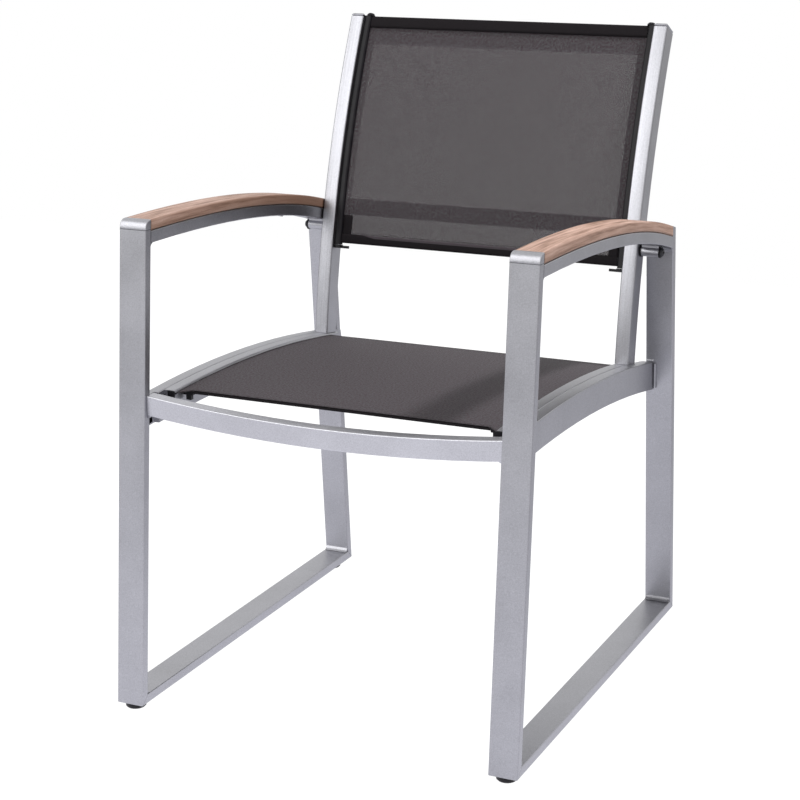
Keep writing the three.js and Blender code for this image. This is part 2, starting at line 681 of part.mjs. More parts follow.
// The cap on an upright: a bevelled plate with a spigot in the tube.
function uprightCap() {
  const [y, z] = back.point(1);
  const [dy, dz] = back.direction(1);
  const lean = Math.atan2(dy, dz);
  const [w, d, b] = [UPRIGHT_WIDTH, UPRIGHT_DEPTH, UPRIGHT_CAP_BEVEL];
  const plate = new THREE.ExtrudeGeometry(outlineShape(easedBox(-w, 0, 0, d, UPRIGHT_EASE)), {
    depth: UPRIGHT_CAP_THICK - FIT_GAP - b,
    steps: 1,
    bevelEnabled: true,
    bevelThickness: b,
    bevelSize: b,
    bevelOffset: -b,
    bevelSegments: 1,
  });
  plate.translate(0, 0, b - UPRIGHT_CAP_THICK);
  const inset = UPRIGHT_WALL + FIT_GAP;
  const low = -UPRIGHT_CAP_THICK - UPRIGHT_CAP_SPIGOT;
  const plug = new THREE.ExtrudeGeometry(outlineShape(box(inset - w, inset, -inset, d - inset)), {
    depth: UPRIGHT_CAP_SPIGOT + UPRIGHT_CAP_THICK / 2,
    steps: 1,
    bevelEnabled: false,
  });
  plug.translate(0, 0, low);
  const flat = new THREE.BoxGeometry(REACH, REACH, REACH).translate(0, 0, -REACH / 2);
  const seatLine = FIT_GAP - UPRIGHT_CAP_THICK;
  const trimmed = solid(plate).subtract(solid(flat.translate(0, 0, seatLine)));
  const placed = surface(trimmed.add(solid(plug)));
  return solid(placed.rotateX(-lean).translate(uprightOuter, y, z));
}

// Arm mount: the sleeve lies crosswise under the arm tube, with the bolt through it into the upright.
const innerWasher = uprightOuter + FIT_GAP;
const sleeveStart = innerWasher + WASHER_THICK + FIT_GAP;
const sleeveEnd = sleeveStart + SLEEVE_LENGTH;
const outerWasher = sleeveEnd + FIT_GAP;

// The sleeve carries a weld bead along its top that closes the gap to the arm tube.
function sleeve() {
  const { y, z } = mount;
  const half = SLEEVE_RADIUS / 2;
  const tube = across(strip(arm, 0, ARM_TUBE_UNDER + FIT_GAP, 0, 1 + OVERSHOOT_SHARE), -REACH, REACH);
  const block = box(y - half, z, y + half, z + 2 * SLEEVE_RADIUS);
  const bead = across(block, sleeveStart, sleeveEnd).subtract(tube);
  return roundBar(sleeveStart, sleeveEnd, SLEEVE_RADIUS, y, z)
    .add(bead)
    .subtract(roundBar(-REACH, REACH, BOLT_RADIUS + FIT_GAP, y, z));
}

function washer(x) {
  const { y, z } = mount;
  return roundBar(x, x + WASHER_THICK, WASHER_RADIUS, y, z, BOLT_RADIUS + FIT_GAP);
}

function bolt() {
  const { y, z } = mount;
  const seatX = outerWasher + WASHER_THICK + FIT_GAP;
  const shank = roundBar(uprightOuter - UPRIGHT_WALL, seatX + BOLT_HEAD_HEIGHT / 2, BOLT_RADIUS, y, z);
  const tip = roundBar(uprightOuter - BOLT_GRIP, uprightOuter, BOLT_RADIUS - FIT_GAP, y, z);
  const profile = [
    [0, 0],
    [BOLT_HEAD_RADIUS, 0],
    [BOLT_HEAD_RADIUS, BOLT_HEAD_HEIGHT / 3],
    [BOLT_HEAD_RADIUS - BOLT_HEAD_HEIGHT / 2, BOLT_HEAD_HEIGHT],
    [0, BOLT_HEAD_HEIGHT],
  ].map(([r, h]) => new THREE.Vector2(r, h));
  const head = new THREE.LatheGeometry(profile, ROUND_SIDES).rotateZ(-Math.PI / 2).translate(seatX, y, z);
  const key = roundBar(seatX + BOLT_HEAD_HEIGHT / 2, REACH, BOLT_RADIUS / 2, y, z);
  return join([shank, tip, solid(head)]).subtract(key);
}

// Back channel: a slotted plastic extrusion on the inner side of the upright that takes the bead.
const channelOuter = uprightInner - FIT_GAP;
const channelBore = CHANNEL_WIDTH * CHANNEL_BORE_SHARE;
const clothFrom = back.reach(1, BACK_CLOTH_BOTTOM);
const clothTo = back.reach(1, BACK_CLOTH_TOP);
const overShare = BACK_CHANNEL_OVER / back.length();
const endShare = CHANNEL_END_LENGTH / back.length();

function channel() {
  const [w, half, r] = [CHANNEL_WIDTH, CHANNEL_DEPTH / 2, CHANNEL_ROUND];
  const nip = r * CHANNEL_ROUND_SHARE;
  const section = outlineShape([
    [0, -half],
    [w - r, -half],
    [w - nip, nip - half],
    [w, r - half],
    ...slotPoints(channelBore, 0, w),
    [w, half - r],
    [w - nip, half - nip],
    [w - r, half],
    [0, half],
  ]);
  const path = new BowPath(back, channelOuter, BACK_SLOT_DEPTH, clothFrom - overShare, clothTo + overShare);
  return sweep(section, path, BOW_STEPS / 2);
}

// A piece made upright at x on the origin, set on the channel's line at t and leaned with the back.
function onBack(body, t) {
  const [y, z] = back.beside(t, BACK_SLOT_DEPTH);
  const [dy, dz] = back.direction(t);
  return solid(surface(body).rotateX(-Math.atan2(dy, dz)).translate(0, y, z));
}

// Ends of a channel: a rounded stop on top, and below a stop with a lug under the hem.
function channelTop() {
  const [rimShare, crownShare, shoulderShare] = CHANNEL_END_SHARES;
  const r = CHANNEL_END_RADIUS;
  const profile = [
    [0, 0],
    [r, 0],
    [r, CHANNEL_END_LENGTH * rimShare],
    [r * crownShare, CHANNEL_END_LENGTH * shoulderShare],
    [0, CHANNEL_END_LENGTH],
  ].map(([a, b]) => new THREE.Vector2(a, b));
  const dome = new THREE.LatheGeometry(profile, ROUND_SIDES / 2).rotateX(Math.PI / 2);
  const x = channelOuter - r;
  return onBack(solid(dome.translate(x, 0, FIT_GAP)), clothTo + overShare);
}

function channelBottom() {
  const half = CHANNEL_DEPTH / 2;
  const drop = -FIT_GAP;
  const left = channelOuter - CHANNEL_WIDTH;
  const foot = drop - CHANNEL_END_LENGTH;
  const thin = CHANNEL_LUG_THICK;
  const stop = box(left, foot, channelOuter, drop);
  const lug = box(left - CHANNEL_LUG_LENGTH, foot, left + thin, foot + thin);
  const body = backward(stop, -half, half).add(backward(lug, -thin / 2, thin / 2));
  return onBack(body, clothFrom - overShare);
}

// Cloth panels: a thin sheet with a round bead on each side edge and a pocket at each end for a batten.
const backBeadX = channelOuter - channelBore;
const seatBeadX = railOuter - seatBeadU;

function round(radius, bow, x, offset, from, to) {
  return sweep(outlineShape(disc(radius)), new BowPath(bow, x, offset, from, to), BOW_STEPS / 2);
}

// The outline of a flat batten of the given width along a bow at t, thick across it.
function battenOutline(bow, t, offset, width, thick) {
  const share = width / bow.length() / 2;
  return strip(bow, offset - thick / 2, offset + thick / 2, t - share, t + share, 1);
}

function pocket(bow, t, offset, width, thick, half) {
  const room = 2 * HEM_POCKET_ROOM;
  const wrap = room + 2 * CLOTH_THICK;
  const outer = across(battenOutline(bow, t, offset, width + wrap, thick + wrap), -half, half);
  const inner = across(battenOutline(bow, t, offset, width + room, thick + room), -REACH, REACH);
  return { outer, inner };
}

const backTopT = clothTo - (BACK_BATTEN_WIDTH / 2 + CLOTH_THICK + HEM_POCKET_ROOM) / back.length();
const backLowT = clothFrom + (BACK_BATTEN_WIDTH / 2 + CLOTH_THICK + HEM_POCKET_ROOM) / back.length();
const hemHalf = channelOuter - CHANNEL_WIDTH - FIT_GAP;

function backCloth() {
  const near = BACK_SLOT_DEPTH - CLOTH_THICK / 2;
  const far = BACK_SLOT_DEPTH + CLOTH_THICK / 2;
  const sheet = across(strip(back, near, far, clothFrom, clothTo), -backBeadX, backBeadX);
  const tube = round(BEAD_RADIUS, back, backBeadX, BACK_SLOT_DEPTH, clothFrom, clothTo);
  const ends = [clothFrom - overShare, clothTo + overShare];
  const bore = round(BEAD_CORE_RADIUS + FIT_GAP, back, backBeadX, BACK_SLOT_DEPTH, ...ends);
  const hems = [backTopT, backLowT].map((t) =>
    pocket(back, t, BACK_SLOT_DEPTH, BACK_BATTEN_WIDTH, BACK_BATTEN_THICK, hemHalf));
  let body = join([sheet, tube, twin(tube), hems[0].outer, hems[1].outer]);
  for (const hem of hems) body = body.subtract(hem.inner);
  return body.subtract(bore).subtract(twin(bore));
}

function backBatten(t) {
  const outline = battenOutline(back, t, BACK_SLOT_DEPTH, BACK_BATTEN_WIDTH, BACK_BATTEN_THICK);
  return across(outline, -hemHalf, hemHalf);
}

// Seat panel: the sheet sags a little between the rails and the battens. Its front corners run on along
// the beads past the pocket.
const seatFrom = seat.reach(0, SEAT_CLOTH_FRONT);
const seatHemFrom = seat.reach(0, SEAT_HEM_FRONT);
const seatTo = seat.reach(0, SEAT_CLOTH_REAR);

function sagSheet(half) {
  const corners = [];
  const faces = [];
  const [rows, columns] = [SHEET_ALONG + 1, SHEET_ACROSS + 1];
  for (const side of [CLOTH_THICK / 2, -CLOTH_THICK / 2]) {
    for (let i = 0; i < rows; i += 1) {
      const s = i / SHEET_ALONG;
      for (let j = 0; j < columns; j += 1) {
        const c = (2 * j) / SHEET_ACROSS - 1;
        const start = c * c === 1 ? seatFrom : seatHemFrom;
        const [y, z] = seat.beside(start + (seatTo - start) * s, SEAT_SLOT_DROP + side);
        const sag = SEAT_SAG * (1 - c * c) * Math.sin(Math.PI * s);
        corners.push(half * c, y, z - sag);
      }
    }
  }
  const under = 0;
  const over = rows * columns;
  const quad = (a, b, c, d) => faces.push(a, b, c, a, c, d);
  for (let i = 0; i < SHEET_ALONG; i += 1) {
    for (let j = 0; j < SHEET_ACROSS; j += 1) {
      const at = i * columns + j;
      quad(over + at, over + at + 1, over + at + columns + 1, over + at + columns);
      quad(under + at, under + at + columns, under + at + columns + 1, under + at + 1);
    }
  }
  for (let i = 0; i < SHEET_ALONG; i += 1) {
    const [a, b] = [i * columns, (i + 1) * columns];
    quad(under + a, over + a, over + b, under + b);
    const [c, d] = [a + SHEET_ACROSS, b + SHEET_ACROSS];
    quad(under + c, under + d, over + d, over + c);
  }
  for (let j = 0; j < SHEET_ACROSS; j += 1) {
    quad(under + j, under + j + 1, over + j + 1, over + j);
    const k = SHEET_ALONG * columns + j;
    quad(under + k, over + k, over + k + 1, under + k + 1);
  }
  const geometry = new THREE.BufferGeometry();
  geometry.setAttribute('position', new THREE.Float32BufferAttribute(corners, 3));
  geometry.setIndex(faces);
  return solid(geometry);
}

const seatBattenOffset = SEAT_SLOT_DROP + SEAT_BATTEN_THICK / 2 + SEAT_HEM_DROP;
const seatHemStep = (SEAT_BATTEN_WIDTH / 2 + CLOTH_THICK + HEM_POCKET_ROOM) / seat.length();
const seatBattenFrontT = seatHemFrom + seatHemStep;
const seatBattenRearT = seatTo - seatHemStep;
const seatHemHalf = railInner - BATTEN_END_LENGTH - BATTEN_END_CLEARANCE;

function seatCloth() {
  const tube = round(BEAD_RADIUS, seat, seatBeadX, SEAT_SLOT_DROP, seatFrom, seatTo);
  const share = BATTEN_END_CLEARANCE / seat.length();
  const ends = [seatFrom - share, seatTo + share];
  const bore = round(BEAD_CORE_RADIUS + FIT_GAP, seat, seatBeadX, SEAT_SLOT_DROP, ...ends);
  const hems = [seatBattenFrontT, seatBattenRearT].map((t) =>
    pocket(seat, t, seatBattenOffset, SEAT_BATTEN_WIDTH, SEAT_BATTEN_THICK, seatHemHalf));
  let body = join([sagSheet(seatBeadX), tube, twin(tube), hems[0].outer, hems[1].outer]);
  for (const hem of hems) {
    const room = across(box(-REACH, -REACH, REACH, REACH), -seatHemHalf, seatHemHalf);
    body = body.subtract(hem.inner.intersect(room));
  }
  return body.subtract(bore).subtract(twin(bore));
}

function seatBatten(t) {
  const outline = battenOutline(seat, t, seatBattenOffset, SEAT_BATTEN_WIDTH, SEAT_BATTEN_THICK);
  const end = railInner - BATTEN_END_CLEARANCE - BATTEN_END_WALL - FIT_GAP;
  return across(outline, -end, end);
}

// Plastic shoes on the batten ends, which bear on the side rails.
function battenShoe(t) {
  const [w, h] = [SEAT_BATTEN_WIDTH + 2 * BATTEN_END_WALL, SEAT_BATTEN_THICK + 2 * BATTEN_END_WALL];
  const outer = battenOutline(seat, t, seatBattenOffset + BATTEN_END_WALL, w, h);
  const [roomWidth, roomThick] = [SEAT_BATTEN_WIDTH + FIT_GAP, SEAT_BATTEN_THICK + 2 * FIT_GAP];
  const room = battenOutline(seat, t, seatBattenOffset, roomWidth, roomThick);
  const end = railInner - FIT_GAP;
  const clothUnder = SEAT_SLOT_DROP + CLOTH_THICK / 2 + FIT_GAP;
  const above = across(strip(seat, -RAIL_HEIGHT, clothUnder, 0, 1), -REACH, REACH);
  return across(outer, seatHemHalf + FIT_GAP, end)
    .subtract(across(room, -REACH, end - BATTEN_END_WALL))
    .subtract(above);
}

const chair = new THREE.Group();

function add(name, body, look) {
  const mesh = new THREE.Mesh(surface(body), finish(...look));
  mesh.name = name;
  chair.add(mesh);
}

function addPair(name, body, look) {
  add(`${name}_right`, body, look);
  add(`${name}_left`, twin(body), look);
}

addPair('front_leg', frontLeg(), ALUMINIUM);
addPair('rear_leg', rearLeg(), ALUMINIUM);
addPair('floor_runner', runner(), ALUMINIUM);
addPair('arm_tube', armTube(), ALUMINIUM);
addPair('teak_arm', teakArm(), TEAK);
for (const [i, share] of ARM_SCREW_SHARES.entries()) addPair(`arm_screw_${i + 1}`, armScrew(share), STEEL);
for (const [side, x] of [['right', glideX], ['left', -glideX]]) {
  add(`glide_front_${side}`, glide(x, glidePlaces[0]), BLACK);
  add(`glide_rear_${side}`, glide(x, glidePlaces[1]), BLACK);
}
addPair('seat_rail', seatRail(), ALUMINIUM);
add('seat_front_bar', frontBar(), ALUMINIUM);
add('seat_rear_bar', rearBar(), ALUMINIUM);
add('seat_sling', seatCloth(), CLOTH);
const seatEnds = [seatFrom, seatTo];
addPair('seat_bead_rod', round(BEAD_CORE_RADIUS, seat, seatBeadX, SEAT_SLOT_DROP, ...seatEnds), BLACK);
add('seat_batten_front', seatBatten(seatBattenFrontT), ALUMINIUM);
add('seat_batten_rear', seatBatten(seatBattenRearT), ALUMINIUM);
addPair('batten_shoe_front', battenShoe(seatBattenFrontT), BLACK);
addPair('batten_shoe_rear', battenShoe(seatBattenRearT), BLACK);
addPair('back_upright', upright(), ALUMINIUM);
for (const [i, height] of BACK_BAR_HEIGHTS.entries()) {
  add(`back_cross_bar_${i + 1}`, backBar(height), ALUMINIUM);
}
addPair('upright_cap', uprightCap(), ALUMINIUM);
addPair('arm_mount_sleeve', sleeve(), ALUMINIUM);
addPair('inner_washer', washer(innerWasher), BLACK);
addPair('outer_washer', washer(outerWasher), BLACK);
addPair('arm_mount_bolt', bolt(), BLACK);
addPair('back_channel', channel(), BLACK);
addPair('channel_top_stop', channelTop(), BLACK);
addPair('channel_bottom_stop', channelBottom(), BLACK);
add('back_sling', backCloth(), CLOTH);
const backEnds = [clothFrom, clothTo];
addPair('back_bead_rod', round(BEAD_CORE_RADIUS, back, backBeadX, BACK_SLOT_DEPTH, ...backEnds), BLACK);
add('back_batten_top', backBatten(backTopT), ALUMINIUM);
add('back_batten_bottom', backBatten(backLowT), ALUMINIUM);

// The middle of the footprint is the origin.
const extent = new THREE.Box3().setFromObject(chair);
chair.position.y = -(extent.min.y + extent.max.y) / 2;

export default chair;
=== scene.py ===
"""Sling patio armchair: satin aluminium side frames with teak arm strips, an arched seat frame and a
reclined back, both spanned with open-weave cloth. Metres, +Z up, the chair faces -Y."""

import math

import bmesh
import bpy
import numpy as np
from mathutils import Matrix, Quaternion, Vector


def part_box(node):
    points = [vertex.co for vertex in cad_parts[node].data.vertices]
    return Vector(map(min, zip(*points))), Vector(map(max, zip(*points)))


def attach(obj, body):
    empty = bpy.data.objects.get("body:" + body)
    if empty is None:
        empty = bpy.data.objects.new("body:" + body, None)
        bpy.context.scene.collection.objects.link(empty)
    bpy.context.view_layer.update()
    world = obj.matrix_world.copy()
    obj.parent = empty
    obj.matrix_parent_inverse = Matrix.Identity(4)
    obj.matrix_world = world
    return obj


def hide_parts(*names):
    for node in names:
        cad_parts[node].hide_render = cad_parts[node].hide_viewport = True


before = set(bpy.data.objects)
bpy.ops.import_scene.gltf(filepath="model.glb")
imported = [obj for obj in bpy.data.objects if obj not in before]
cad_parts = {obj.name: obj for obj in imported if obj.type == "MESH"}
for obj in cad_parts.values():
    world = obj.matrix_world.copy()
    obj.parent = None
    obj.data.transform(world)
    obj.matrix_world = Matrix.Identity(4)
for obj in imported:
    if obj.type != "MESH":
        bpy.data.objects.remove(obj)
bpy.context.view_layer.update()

# The camera stands in front of the chair, to its left-hand side and a little above the arms, with a long
# lens. The place that it looks at is given from the front feet and the floor.
CAMERA_AZIMUTH = math.radians(24.87)
CAMERA_ELEVATION = math.radians(15.68)
CAMERA_DISTANCE = 2.730
CAMERA_ROLL = math.radians(-0.33)
CAMERA_LENS = 90.17
LOOK_ACROSS = 0.0109
LOOK_BEHIND_FEET = 0.2656
LOOK_HEIGHT = 0.400

front_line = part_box("front_leg_right")[0].y
look_at = Vector((LOOK_ACROSS, front_line + LOOK_BEHIND_FEET, LOOK_HEIGHT))
backward = Vector(
    (
        math.sin(CAMERA_AZIMUTH) * math.cos(CAMERA_ELEVATION),
        -math.cos(CAMERA_AZIMUTH) * math.cos(CAMERA_ELEVATION),
        math.sin(CAMERA_ELEVATION),
    )
)
lens = bpy.data.cameras.new("photo_camera")
lens.lens = CAMERA_LENS
lens.sensor_width = 36
camera = bpy.data.objects.new("photo_camera", lens)
camera.rotation_mode = "QUATERNION"
camera.location = look_at + backward * CAMERA_DISTANCE
camera.rotation_quaternion = backward.to_track_quat("Z", "Y") @ Quaternion((0, 0, 1), CAMERA_ROLL)
bpy.context.scene.collection.objects.link(camera)
bpy.context.scene.camera = camera


# Side frames. Each is a loop of flat aluminium tube, mitred and welded at the floor, with a bowed arm
# tube between the legs. The metal is blasted and anodised to a satin silver with a fine, even grain.
class Wire:
    """A socket in a node tree, so that shader maths reads as plain arithmetic."""

    def __init__(self, nodes, socket):
        self.nodes = nodes
        self.socket = socket

    def maths(self, operation, *others):
        return self.nodes.node("ShaderNodeMath", {"operation": operation}, (self, *others))

    def __add__(self, other):
        return self.maths("ADD", other)

    def __sub__(self, other):
        return self.maths("SUBTRACT", other)

    def __rsub__(self, other):
        return self.nodes.node("ShaderNodeMath", {"operation": "SUBTRACT"}, (other, self))

    def __mul__(self, other):
        return self.maths("MULTIPLY", other)

    def __truediv__(self, other):
        return self.maths("DIVIDE", other)

    __radd__ = __add__
    __rmul__ = __mul__

    def ramp(self, low, high):
        """0 below low, 1 above high, and a straight line between."""
        span = {"Value": self, "From Min": low, "From Max": high}
        return self.nodes.node("ShaderNodeMapRange", None, span)


class Nodes:
    """The node tree of a material or of the world, built around the shader of that name."""

    def __init__(self, owner, shader):
        owner.use_nodes = True
        self.tree = owner.node_tree
        self.shader = self.tree.nodes[shader]

    def node(self, kind, settings=None, values=(), output=0):
        """Adds a node: its settings first, then a number, colour or wire for each socket, by place or by
        name."""
        made = self.tree.nodes.new(kind)
        for key, value in (settings or {}).items():
            if key == "stops":
                ramp = made.color_ramp
                while len(ramp.elements) < len(value):
                    ramp.elements.new(0.5)
                for element, (place, colour) in zip(ramp.elements, value):
                    element.position = place
                    element.color = (*colour, 1)
            else:
                setattr(made, key, value)
        pairs = values.items() if isinstance(values, dict) else enumerate(values)
        for place, value in pairs:
            self.set(made.inputs[place], value)
        return Wire(self, made.outputs[output])

    def set(self, socket, value):
        if isinstance(value, Wire):
            self.tree.links.new(value.socket, socket)
        else:
            socket.default_value = value

    def feed(self, **wires):
        for socket, wire in wires.items():
            self.set(self.shader.inputs[socket.replace("_", " ")], wire)

    def parts(self, vector):
        """The three numbers of a vector."""
        return [self.node("ShaderNodeSeparateXYZ", None, (vector,), output=k) for k in range(3)]


class Finish(Nodes):
    """A material on one Principled shader, with its fixed sockets given by name."""

    def __init__(self, name, **fixed):
        self.material = bpy.data.materials.new(name)
        super().__init__(self.material, "Principled BSDF")
        self.feed(**fixed)

    def place(self, stretch=(1, 1, 1), source="Object"):
        """Object coordinates, or the piece's own UV map, multiplied by stretch."""
        kinds = {"Object": "ShaderNodeTexCoord", "UV": "ShaderNodeUVMap"}
        coordinates = self.node(kinds[source], output=source)
        return self.node("ShaderNodeVectorMath", {"operation": "MULTIPLY"}, (coordinates, stretch))

    def noise(self, where, scale, detail=2.0, roughness=0.5):
        values = {"Vector": where, "Scale": scale, "Detail": detail, "Roughness": roughness}
        return self.node("ShaderNodeTexNoise", None, values)

    def mix(self, share, first, second):
        """A colour between two, by a share from 0 to 1."""
        values = {0: share, 6: first, 7: second}
        return self.node("ShaderNodeMix", {"data_type": "RGBA"}, values, output=2)

    def bump(self, height, distance, strength=1.0):
        values = {"Height": height, "Distance": distance, "Strength": strength}
        return self.node("ShaderNodeBump", None, values)


SATIN_LIGHT = (0.47, 0.47, 0.50)
SATIN_DARK = (0.345, 0.345, 0.365)
GROUND_FADE = 0.002
WELD_LINE_HALF = 0.0005
WELD_LINE_COLOUR = (0.05, 0.05, 0.055, 1)


def satin_metal(name, painted_light_gain=1.0, ground_from=None, drawn=0.0):
    """Blasted aluminium: a grain 0.5 mm wide in the bump, speckles 1.5 mm wide and broad clouds in the
    colour. Above the height ground_from a weld was ground: there is a fine dark seam, then a coarser
    grain. The drawn share is that of fine lines left by the die along the piece."""
    finish = Finish(name, Metallic=1.0)
    where = finish.place()
    clouds = finish.noise(where, scale=14, detail=3)
    specks = finish.noise(where, scale=680, detail=1)
    grain = finish.noise(where, scale=1900, detail=2)
    # A gain above 1 lightens both tones: painted light.
    dark, light = ((*(painted_light_gain * part for part in tone), 1) for tone in (SATIN_DARK, SATIN_LIGHT))
    share = (clouds * 0.4 + specks * 0.6).ramp(0.3, 0.7)
    if drawn:
        lines = finish.noise(finish.place((1, 0.02, 0.02)), scale=330, detail=3, roughness=0.7)
        share = share + drawn * (lines - 0.5)
    colour = finish.mix(share, dark, light)
    if ground_from is not None:
        height = finish.parts(where)[2]
        ground = height.ramp(ground_from, ground_from + GROUND_FADE)
        grain = grain + ground * 6 * finish.noise(where, scale=520, detail=2)
        seam = (height - ground_from).maths("ABSOLUTE").maths("LESS_THAN", WELD_LINE_HALF)
        colour = finish.mix(seam * 0.7, colour, WELD_LINE_COLOUR)
    finish.feed(
        Base_Color=colour, Roughness=0.34 + 0.1 * clouds, Normal=finish.bump(grain, 0.00006, 0.5)
    )
    return finish.material


def dress(piece, material, *nodes):
    """Gives a piece its material, puts it on the body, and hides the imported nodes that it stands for."""
    piece.data.materials.clear()
    piece.data.materials.append(material)
    if nodes:
        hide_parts(*nodes)
    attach(piece, "root")


SHARP_CORNER = math.radians(50)
MERGED_WITHIN = 0.00001
FLAT_WITHIN = 0.002


def smoothed(node, material):
    """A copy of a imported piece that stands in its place, with its corners merged, the edges inside its
    flat faces dissolved and its bows shaded smooth."""
    piece = bpy.data.objects.new(f"{node}_finished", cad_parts[node].data.copy())
    bpy.context.scene.collection.objects.link(piece)
    shape = bmesh.new()
    shape.from_mesh(piece.data)
    bmesh.ops.remove_doubles(shape, verts=shape.verts, dist=MERGED_WITHIN)
    bmesh.ops.dissolve_limit(
        shape, angle_limit=FLAT_WITHIN, verts=shape.verts, edges=shape.edges
    )
    shape.to_mesh(piece.data)
    shape.free()
    if piece.data.has_custom_normals:
        bpy.context.view_layer.objects.active = piece
        piece.select_set(True)
        bpy.ops.mesh.customdata_custom_splitnormals_clear()
        piece.select_set(False)
    piece.data.shade_smooth()
    piece.data.set_sharp_from_angle(angle=SHARP_CORNER)
    weights = piece.modifiers.new("weights", "WEIGHTED_NORMAL")
    weights.keep_sharp = True
    dress(piece, material, node)
    return piece


SIDES = {"right": 1, "left": -1}
LEG_TOP_GROUND = 0.651
satin = satin_metal("satin_aluminium")
leg_satin = satin_metal("leg_aluminium", ground_from=LEG_TOP_GROUND)
for side in SIDES:
    smoothed(f"front_leg_{side}", leg_satin)
    for name in ("rear_leg", "floor_runner", "arm_tube"):
        smoothed(f"{name}_{side}", satin)


# Glides. A round black foot is pressed into the underside of each runner near its ends. They are moulded
# in polyamide with a faint sheen.
MOULDED_DEEP = (0.007, 0.006, 0.008, 1)
MOULDED_RUBBED = (0.013, 0.012, 0.014, 1)


def moulded_black(name, roughness, shine):
    """Moulded plastic: near black, with a fine spark-eroded grain 0.4 mm wide and faint rub marks."""
    finish = Finish(name, Specular_IOR_Level=shine)
    where = finish.place()
    grain = finish.noise(where, scale=2600, detail=2)
    wear = finish.noise(where, scale=60, detail=4)
    finish.feed(
        Base_Color=finish.mix(wear.ramp(0.45, 0.75), MOULDED_DEEP, MOULDED_RUBBED),
        Roughness=roughness + 0.1 * wear,
        Normal=finish.bump(grain, 0.00004, 0.6),
    )
    return finish.material


black_plastic = moulded_black("black_plastic", roughness=0.36, shine=0.3)
for side in SIDES:
    for name in ("glide_front", "glide_rear"):
        smoothed(f"{name}_{side}", black_plastic)


# Arm strips. A bowed strip of oiled teak lies on each arm tube between the raised leg tops, 40 mm wide
# and 15 mm thick. Its long edges are rounded over, its ends are cut to fit against the legs.
class Bow:
    """The parabola start, pull, end in the side view, as (depth behind the front feet, height)."""

    def __init__(self, start, pull, end):
        self.start, self.pull, self.end = (np.array(p, float) for p in (start, pull, end))

    def along(self, t):
        """Unit directions at an array of shares t. Shape (..., 2)."""
        t = np.asarray(t, float)[..., None]
        step = (1 - t) * (self.pull - self.start) + t * (self.end - self.pull)
        return step / np.linalg.norm(step, axis=-1, keepdims=True)

    def square(self, t):
        """Unit directions square to the line at t: below a level line, behind a rising one."""
        step = self.along(t)
        return np.stack([step[..., 1], -step[..., 0]], axis=-1)

    def beside(self, t, offset=0.0):
        """Points at t, moved square to the line by the offset. Shape (..., 2)."""
        t = np.asarray(t, float)[..., None]
        line = (1 - t) ** 2 * self.start + 2 * t * (1 - t) * self.pull + t**2 * self.end
        return line + self.square(t[..., 0]) * np.asarray(offset, float)[..., None]

    def length(self, start=0.0, end=1.0):
        """The length of the line between two shares, summed over 199 short steps."""
        points = self.beside(np.linspace(start, end, 200))
        return float(np.linalg.norm(np.diff(points, axis=0), axis=1).sum())


def surface(name, grid, wrap=False, caps=False, flip=False, lengths=None):
    """A mesh over a grid of points, rows by columns by 3: quads between neighbours, wrapped round the
    columns if asked, with a flat cap on the first and last row. The UV map holds metres: the given
    lengths, or the distance from the first column and row along the grid."""
    rows, columns = grid.shape[:2]
    ring = np.r_[:columns, 0] if wrap else np.arange(columns)
    laid = grid[:, ring]
    index = np.arange(laid[..., 0].size).reshape(rows, -1)
    quads = np.stack([index[:-1, :-1], index[:-1, 1:], index[1:, 1:], index[1:, :-1]], axis=-1)
    faces = list(quads.reshape(-1, 4))
    if caps:
        faces += [index[0, :columns][::-1], index[-1, :columns]]
    if flip:
        faces = [face[::-1] for face in faces]
    vertex = np.arange(rows * columns).reshape(rows, columns)[:, ring].ravel()
    mesh = bpy.data.meshes.new(name)
    mesh.from_pydata(grid.reshape(-1, 3).tolist(), [], [vertex[face].tolist() for face in faces])
    if lengths is None:
        across = np.linalg.norm(np.diff(laid, axis=1), axis=2).cumsum(axis=1)
        down = np.linalg.norm(np.diff(laid, axis=0), axis=2).cumsum(axis=0)
        u = np.concatenate([np.zeros((rows, 1)), across], axis=1)
        v = np.concatenate([np.zeros((1, len(ring))), down], axis=0)
    else:
        u, v = lengths
    uv = np.stack([u, v], axis=-1).reshape(-1, 2)
    layer = mesh.uv_layers.new(name="UVMap")
    layer.data.foreach_set("uv", uv[np.concatenate(faces)].astype(np.float32).ravel())
    mesh.shade_smooth()
    mesh.set_sharp_from_angle(angle=SHARP_CORNER)
    piece = bpy.data.objects.new(name, mesh)
    bpy.context.scene.collection.objects.link(piece)
    return piece


def standing(across, depth, height):
    """A grid of points in the chair's frame, from their places across it, their depths behind the front
    feet and their heights, spread over rows and columns."""
    return np.stack(np.broadcast_arrays(across, front_line + depth, height), axis=-1)


def rounded(width, height, radius, steps=5):
    """The outline of a rectangle with round corners about the origin: a quarter circle of the given
    radius about each corner's centre. Shape (n, 2)."""
    turn = np.linspace(0, math.pi / 2, steps + 1)
    corner = np.stack([np.cos(turn), np.sin(turn)], axis=1) * radius
    parts = []
    for quarter, (sx, sy) in enumerate(((1, 1), (-1, 1), (-1, -1), (1, -1))):
        c, s = math.cos(quarter * math.pi / 2), math.sin(quarter * math.pi / 2)
        turned = corner @ np.array([[c, s], [-s, c]])
        parts.append(turned + (sx * (width / 2 - radius), sy * (height / 2 - radius)))
    return np.concatenate(parts)


